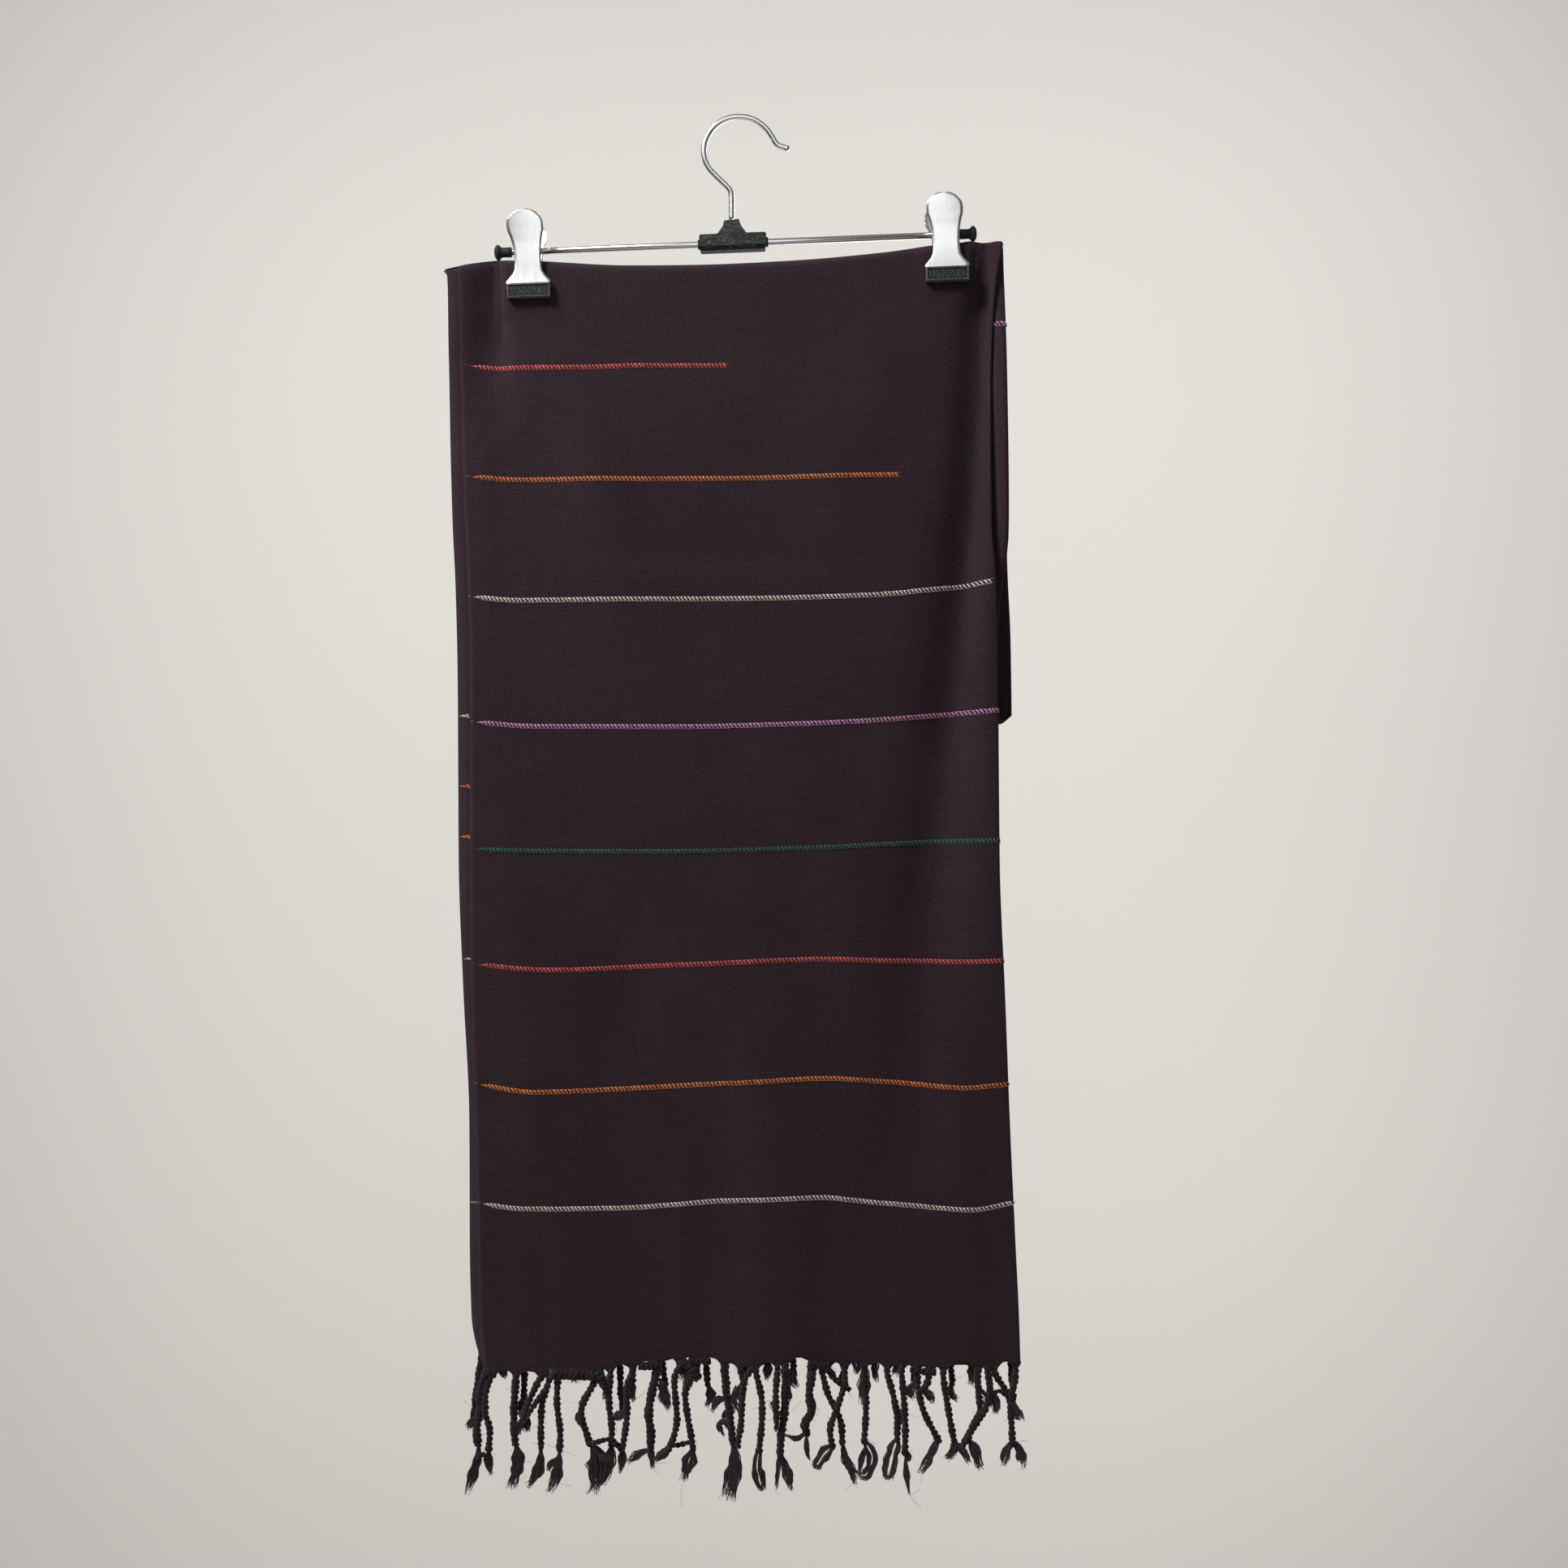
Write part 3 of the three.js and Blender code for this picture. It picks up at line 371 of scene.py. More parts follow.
chrome = metal("chrome_wire", (0.86, 0.87, 0.88), 0.20, 0.06)
satin = metal("satin_steel", (0.95, 0.95, 0.94), 0.24, 0.05, (1, 1, 0.04))
spring_steel = metal("spring_steel", (0.55, 0.55, 0.54), 0.2, 0.1)
plastic = moulded("black_plastic", (0.004, 0.005, 0.005), (0.085, 0.100, 0.098), 0.5, 0.00008)
rubber = moulded("black_rubber", (0.006, 0.008, 0.009), (0.075, 0.088, 0.090), 0.6, 0.00006)
# The pad's rubber takes painted shade from the pad mesh's tone.
pad_rubber = moulded("pad_rubber", (0.006, 0.008, 0.009), (0.085, 0.100, 0.102), 0.6, 0.00006, toned=True)
cloth = woven("stole_cloth", (0.003, 0.0016, 0.0024), (0.052, 0.0285, 0.0400), 0.00048)
yarn = spun("fringe_yarn", (0.003, 0.0018, 0.0026), (0.026, 0.015, 0.021), sheen=0.18)
tuft_yarn = spun("fringe_tufts", (0.004, 0.0022, 0.0034), (0.045, 0.025, 0.036), sheen=0.3)
INLAY_COLOURS = {
    "red": ((0.24, 0.026, 0.034), (0.80, 0.150, 0.150)),
    "orange": ((0.30, 0.068, 0.022), (0.82, 0.270, 0.080)),
    "white": ((0.36, 0.29, 0.27), (0.82, 0.70, 0.66)),
    "lilac": ((0.24, 0.095, 0.20), (0.76, 0.37, 0.64)),
    "green": ((0.012, 0.040, 0.032), (0.050, 0.145, 0.112)),
}
inlay_yarns = {
    name: spun(f"inlay_{name}", dark, light, sheen=0.15, roughness=0.7, scale=1600)
    for name, (dark, light) in INLAY_COLOURS.items()
}

# ---- Sizes of the folded cloth ----
WALL = 1.0  # a thickness
PLY_GAP = 0.3  # between the two thicknesses of a stretch
TURN_CORE = 0.3  # radius inside the turn over the top edge
SEAM = 0.3  # between the front and back halves
LAYER_ROOM = 0.8  # spare room between the stretches in that turn
PLY = 2 * WALL + PLY_GAP
PACK_RADIUS = TURN_CORE + 2 * PLY + LAYER_ROOM
FLAP_RADIUS = (PACK_RADIUS - TURN_CORE) / 2
UNDER_RISE = 56.0  # how much higher the rear hem is
THREAD_SHEET = 0.6  # thickness of the cloth as shown
SELVEDGE_SHARE = 0.25  # a selvedge's thickness as a share of that

TOP_EDGE = table(
    "x z",
    (-173, -87.6), (-158, -84.6), (-143, -82.9), (-124, -83.2), (-65, -85.8), (-29, -85.6), (28, -83.2),
    (85, -78.1), (120, -73.2), (130, -72.4), (136, -71.5), (142, -72.4), (148, -72.1), (152, -71.4),
    (156, -72.6),
)
HEM = table(
    "x z",
    (-166, -727), (-142, -736.5), (-96, -738), (-72, -733.5), (-20, -728.5), (1, -731), (35, -728),
    (58, -732), (115, -733), (166, -730.5),
)
FLAP_END = table(
    "x z",
    (-165, -351), (0, -352.5), (159, -353.3),
)
# Edges of each stretch down its length: the outer thickness's selvedge, the inner one's, the fold.
FRONT_PLY = table(
    "z outer inner fold",
    (-72, -166.4, -174.8, 154), (-78, -166.2, -174.4, 153), (-84, -166, -172.9, 152),
    (-91, -165.5, -171.9, 150.6), (-101, -165, -171.5, 149.4), (-123, -164.5, -171.2, 147.9),
    (-154, -163.8, -170.6, 147.2), (-187, -163, -170, 147.2), (-240, -161, -168.5, 147.5),
    (-273, -159.5, -167, 149.8), (-350, -158, -165.4, 150.8), (-435, -158, -165, 151.4),
    (-511, -157.5, -162.5, 154.5), (-587, -155.5, -159, 157.6), (-660, -154, -158.8, 161),
    (-704, -153, -157.8, 163.2), (-738, -149, -149.5, 164.3),
)
UNDER_PLY = table(
    "z outer inner fold",
    (-72, -161, -165, 153.5), (-240, -159, -163, 145), (-435, -157, -160.5, 148), (-680, -152, -155, 157),
)
FLAP_OUTSIDE = table(
    "z outer inner fold",
    (-72, -174.2, -172, 154.5), (-130, -170, -168, 156), (-250, -167, -165, 157.2),
    (-300, -165.4, -163.4, 159.4), (-353, -163.5, -161.5, 160.2),
)
FLAP_INSIDE = table(
    "z outer inner fold",
    (-72, -163, -165, 154.5), (-240, -161, -163, 157.6), (-262, -160.5, -162.5, 156),
    (-292, -160, -162, 152.4), (-335, -159.5, -161.5, 151.4), (-353, -159, -161, 150.5),
)
# Long folds that run down the cloth: where each one is at a height, how wide it is to its left (half)
# and right, and how deep. Troughs have a positive depth, ridges a negative one.
RUN_COLUMNS = "z x half right depth"
RUNS = [table(RUN_COLUMNS, *rows) for rows in (
    ((-70, 144, 9, 3.5, 4), (-95, 144, 10, 3.5, 8), (-120, 143, 13, 4.3, 11.5),
     (-155, 142.5, 14.5, 4.8, 13), (-190, 140, 15, 6.6, 13), (-220, 138, 15, 8.4, 12.5),
     (-300, 129, 16, 10, 11), (-380, 120, 18, 14, 10), (-480, 109, 21, 19, 9), (-600, 96, 24, 24, 5),
     (-735, 84, 30, 30, 0.6)),
    ((-84, -142.5, 14, 3, 4), (-104, -143, 15, 4, 10), (-128, -144, 15.5, 8, 11), (-156, -146, 17, 14, 6),
     (-200, -148, 18, 18, 0)),
    ((-84, 148, 6, 6, 0), (-120, 146, 7, 7, -0.4), (-220, 144, 8, 8, -1.2), (-340, 144, 11, 11, -3),
     (-520, 142, 16, 16, -2.2), (-720, 146, 20, 20, 0)),
    ((-150, -96, 18, 18, 0), (-230, -84, 24, 24, -2.4), (-330, -62, 28, 28, -2.6), (-470, -38, 30, 30, 0)),
    ((-420, -60, 20, 20, 0), (-520, -68, 24, 24, 2.4), (-640, -78, 25, 25, 3), (-735, -86, 22, 22, 1.6)),
    ((-440, 8, 20, 20, 0), (-560, 13, 22, 22, -2.2), (-735, 20, 22, 22, -2.6)),
)]
# Shorter creases, each along a line from one point to another.
CREASES = table(
    "from to half depth",
    ((-106, -116), (-70, -250), 16, -1.6), ((96, -100), (36, -300), 22, -2.0),
    ((-110, -257), (96, -260), 5.5, 0.9), ((-114, -268), (44, -270), 8, -0.6),
    ((-128, -691), (-20, -693), 5, 0.9), ((-60, -474), (10, -476), 6, 0.5),
    ((-20, -330), (70, -560), 17, 1.2), ((-140, -360), (-118, -640), 13, -1.4),
    ((60, -520), (46, -726), 10, 1.2), ((-30, -600), (-36, -740), 8, -1.0),
    ((128, -560), (136, -740), 10, -1.3), ((-118, -640), (-112, -740), 8, 1.0),
    ((-152, -150), (-146, -330), 7, -0.9),
)
FOLD_FADE = 0.25  # the share of a crease's length over which each of its ends fades
HEM_WAVE = {"depth": 1.8, "length": 105, "start": 40, "reach": 200}
# Unevenness of the whole hang: wave vectors in turns per metre, and depths.
UNEVEN = [(4.1, 1.7, 0.5), (-6.3, 3.2, 0.35), (10.7, 4.8, 0.2), (2.2, 9.5, 0.22), (15.0, -7.0, 0.1)]
FLAP_SWELL = {"depth": 5.0, "start": 0.15}
# The flap's own folds hang free, away from the cloth under it.
FLAP_FOLDS = table(
    "from to half depth",
    ((-96, -110), (-70, -352), 17, 1.8), ((20, -100), (36, -352), 24, 1.4),
    ((112, -140), (122, -352), 12, 1.5), ((-150, -110), (-140, -300), 9, 1.0),
    ((-60, -206), (110, -214), 6, 0.6), ((158, -92), (157, -300), 6.5, -4.5),
    ((163, -262), (163, -440), 5.5, -7),
)
BAR = {"x": -4.3, "z": -72.9, "radius": 1.9, "length": 278.4, "shift": 1.5, "bevel": 0.4}
CLIPS = [{"name": "left", "x": -120.0, "lean": 0.05}, {"name": "right", "x": 124.6, "lean": 0.035}]
PAD = {"width": 25.4, "height": 8.5, "thick": 4.2, "top": -21.2, "rib_pitch": 1.9}
PAD_HOLD = {"beside": 0.6, "free_beside": 5.5, "below": 25.5, "free_below": 40}

top_z = curve(TOP_EDGE, "x", "z")
hem_z = curve(HEM, "x", "z")
flap_end_z = curve(FLAP_END, "x", "z")


def under_hem_z(x):
    return hem_z(x) + UNDER_RISE


class Edges:
    """The three edges of a stretch at any height."""

    def __init__(self, rows):
        self.outer, self.inner, self.fold = (curve(rows, "z", key) for key in ("outer", "inner", "fold"))

    def at(self, left, right):
        """The selvedges at the left's height, the fold at the right's."""
        return np.array([self.outer(left), self.inner(left), self.fold(right)])


front_edges, under_edges = Edges(FRONT_PLY), Edges(UNDER_PLY)
flap_out_edges, flap_in_edges = Edges(FLAP_OUTSIDE), Edges(FLAP_INSIDE)


# ---- How the cloth hangs ----
def fold_depth(x, z, fold):
    """Depth of a short fold along a line."""
    (x0, z0), (x1, z1) = fold["from"], fold["to"]
    run = np.array([x1 - x0, z1 - z0], float)
    share = np.clip(((x - x0) * run[0] + (z - z0) * run[1]) / (run @ run), 0, 1)
    away = np.hypot(x - x0 - share * run[0], z - z0 - share * run[1])
    fade = smoothstep(np.minimum(share, 1 - share), -0.02, FOLD_FADE)
    return fold["depth"] * fade * np.exp(-((away / fold["half"]) ** 2))


def free_beside_pads(x, z):
    """Nothing under a clip's pads, all beside and below them."""
    free = 1.0
    for clip in CLIPS:
        past_pad = np.abs(x - clip["x"] - BAR["x"]) - PAD["width"] / 2
        beside = smoothstep(past_pad, PAD_HOLD["beside"], PAD_HOLD["free_beside"])
        below = smoothstep(top_z(x) - z, PAD_HOLD["below"], PAD_HOLD["free_below"])
        free = free * np.maximum(beside, below)
    return free


run_lines = [{key: curve(rows, "z", key) for key in ("x", "half", "right", "depth")} for rows in RUNS]


def run_depth(x, z, run):
    """Depth of a long fold that runs down the cloth."""
    away = x - run["x"](z)
    half = np.where(away < 0, run["half"](z), run["right"](z))
    return run["depth"](z) * np.exp(-((away / half) ** 2))


def drape(x, z):
    """How far the cloth is pushed back by its folds, the wave at its hem and its unevenness."""
    x, z = np.asarray(x, float), np.asarray(z, float)
    depth = sum(fold_depth(x, z, crease) for crease in CREASES)
    depth = depth + sum(run_depth(x, z, run) for run in run_lines)
    low = smoothstep(hem_z(x) + HEM_WAVE["reach"] - z, 0, HEM_WAVE["reach"])
    ripple = np.sin((x - HEM_WAVE["start"]) / HEM_WAVE["length"] * 2 * math.pi)
    uneven = sum(a * np.sin(2 * math.pi * (u * x + v * z) * MM + i) for i, (u, v, a) in enumerate(UNEVEN))
    return free_beside_pads(x, z) * (depth + HEM_WAVE["depth"] * low * ripple + uneven)


def flap_swell(x, z):
    """How far the flap hangs away from the cloth in front of it."""
    low = (top_z(x) - z) / (top_z(x) - flap_end_z(x))
    own = sum(fold_depth(x, z, fold) for fold in FLAP_FOLDS)
    return FLAP_SWELL["depth"] * smoothstep(low, FLAP_SWELL["start"], 1) + free_beside_pads(x, z) * own


# ---- The section across a stretch ----
MIDDLE, FAR_MIDDLE = WALL / 2, PLY - WALL / 2  # depths of the middles of a stretch's two thicknesses
FOLD_REACH, INSIDE_REACH = 9.0, 7.5  # how wide a fold swells, outside and on the flap's inside
SELVEDGE_LEAN = {"depth": 0.15, "reach": 5}


def fold_round(fold, bulge):
    """Where a fold's round begins, its radius and the depth of its centre."""
    near = MIDDLE - bulge
    radius = (FAR_MIDDLE - near) / 2
    return fold - radius, radius, (FAR_MIDDLE + near) / 2


def section(outer, inner, fold, position, bulge, lift=0.0, reach=FOLD_REACH):
    """x and depth of points across a stretch: position 0..1 on the outer thickness, 1..2 round
    the fold, 2..3 on the inner thickness. lift is the distance outside the cloth's middle, bulge how
    far the fold swells and reach how wide."""
    axis, radius, centre = fold_round(fold, bulge)
    outward = np.clip(position, 0, 1)
    inward = np.clip(position - 2, 0, 1)
    turn = (np.clip(position - 1, 0, 1) - 0.5) * math.pi
    x_out = lerp(outer, axis, outward)
    x_in = lerp(axis, inner, inward)
    swell = bulge * np.exp(-(((axis - x_out) / reach) ** 2))
    lean = SELVEDGE_LEAN["depth"] * np.exp(-(((x_out - outer) / SELVEDGE_LEAN["reach"]) ** 2))
    outside, rounding = position <= 1, (position > 1) & (position < 2)
    x_round, depth_round = axis + (radius + lift) * np.cos(turn), centre + (radius + lift) * np.sin(turn)
    x = np.where(outside, x_out, np.where(rounding, x_round, x_in))
    depth = np.where(rounding, depth_round, FAR_MIDDLE + lift)
    return x, np.where(outside, MIDDLE - (swell - lean) - lift, depth)


def outer_radius(depth):
    """Distance from the middle of the turn over the top edge, for stretches outside it."""
    return PACK_RADIUS - depth


def inner_radius(depth):
    """The same for stretches inside it."""
    return TURN_CORE + depth


def on_front(x, depth, z, radius):
    return np.stack([x, -SEAM / 2 - radius(depth) + drape(x, z), z + 0 * x], -1)


def on_back(x, depth, z, radius):
    return np.stack([x, SEAM / 2 + radius(depth) + drape(x, z) + flap_swell(x, z), z + 0 * x], -1)


def on_turn(x, depth, angle, radius, side):
    base = top_z(x) - PACK_RADIUS
    rho = radius(depth)
    y = side * (SEAM / 2 + rho * math.cos(angle)) + drape(x, base) * math.cos(angle)
    return np.stack([x, y, base + rho * math.sin(angle)], -1)


def on_flap_end(x, depth, angle):
    z = flap_end_z(x) + FLAP_RADIUS
    rho = FLAP_RADIUS - depth
    y = SEAM / 2 + TURN_CORE + FLAP_RADIUS + rho * math.cos(angle) + drape(x, z) + flap_swell(x, z)
    return np.stack([x, y, z - rho * math.sin(angle)], -1)


def positions(outer, turn, inner):
    """Positions across a stretch: counts on its outer thickness, round its fold, on its inner one."""
    rounds = 1 + np.arange(1, turn + 1) / (turn + 1)
    return np.concatenate([np.linspace(0, 1, outer), rounds, np.linspace(2, 3, inner)])


POSITIONS = positions(113, 7, 40)
FOLD_OPENS = {"hanging": 0.06, "flap": 0.12}  # the share of a stretch over which its fold swells
FOLD_BULGE = {"front": 1.7, "under": 0.5, "flap": 1.5, "flap_inside": 4.0}
LEFT_X, RIGHT_X = -158.0, 152.0  # where the height of a row's two ends is taken
TURN_CROWN, FLAP_FOOT = -72.0, -353.0  # the top edge's crown and the flap's end, as edge table heights
SCALLOP = {"rise": 2.3, "drop": 1.9, "half": 2.7, "reach": 12.0}


def hem_scallop(x, roots):
    """The hem's edge: drawn down at each cord, arched up between two."""
    pull = np.exp(-(((x[..., None] - roots) / SCALLOP["half"]) ** 2)).max(-1)
    return lerp(SCALLOP["rise"], -SCALLOP["drop"], pull)


def across_at(edges, height, bulge, reach=FOLD_REACH, position=POSITIONS):
    """x and depth of a row across a stretch; its height is a function of x."""
    left, right = float(height(LEFT_X)), float(height(RIGHT_X))
    return section(*edges.at(left, right), position, bulge, reach=reach)


def hanging_rows(edges, bottom, shares, radius, bulge, roots, least_depth=-math.inf):
    """Rows of a hanging stretch from the top edge (share 0) to its hem (share 1)."""
    rows = []
    for share in shares:

        def height(x):
            return lerp(top_z(x) - PACK_RADIUS, bottom(x), share)

        x, depth = across_at(edges, height, bulge * float(smoothstep(share, 0, FOLD_OPENS["hanging"])))
        z = height(x)
        near_hem = smoothstep(bottom(x) + SCALLOP["reach"] - z, 0, SCALLOP["reach"])
        z = z + near_hem * hem_scallop(x, roots)
        rows.append(on_front(x, np.maximum(depth, least_depth), z, radius))
    return rows


def turn_rows(edges, steps, radius, bulge, side):
    """Rows over the top edge, from its foot (step 0) to its crown (step 1)."""
    rows = []
    for step in steps:
        x, depth = across_at(edges, lambda x: lerp(top_z(x) - PACK_RADIUS, TURN_CROWN, step), bulge)
        rows.append(on_turn(x, depth, step * math.pi / 2, radius, side))
    return rows


def flap_rows(edges, shares, radius, bulge, reach=FOLD_REACH):
    """Rows of the flap from the top edge (share 0) to its end (share 1)."""
    rows = []
    for share in shares:

        def height(x):
            return lerp(top_z(x) - PACK_RADIUS, flap_end_z(x) + FLAP_RADIUS, share)

        x, depth = across_at(edges, height, bulge * float(smoothstep(share, 0, FOLD_OPENS["flap"])), reach)
        rows.append(on_back(x, depth, height(x), radius))
    return rows


def flap_end_rows(steps):
    """Rows round the flap's end, from outside (step 0) to inside (step 1)."""
    rows = []
    for step in steps:
        ends = lerp(*(edges.at(FLAP_FOOT, FLAP_FOOT) for edges in (flap_out_edges, flap_in_edges)), step)
        bulge = lerp(FOLD_BULGE["flap"], FOLD_BULGE["flap_inside"], step)
        x, depth = section(*ends, POSITIONS, bulge, reach=lerp(FOLD_REACH, INSIDE_REACH, step))
        rows.append(on_flap_end(x, depth, step * math.pi))
    return rows


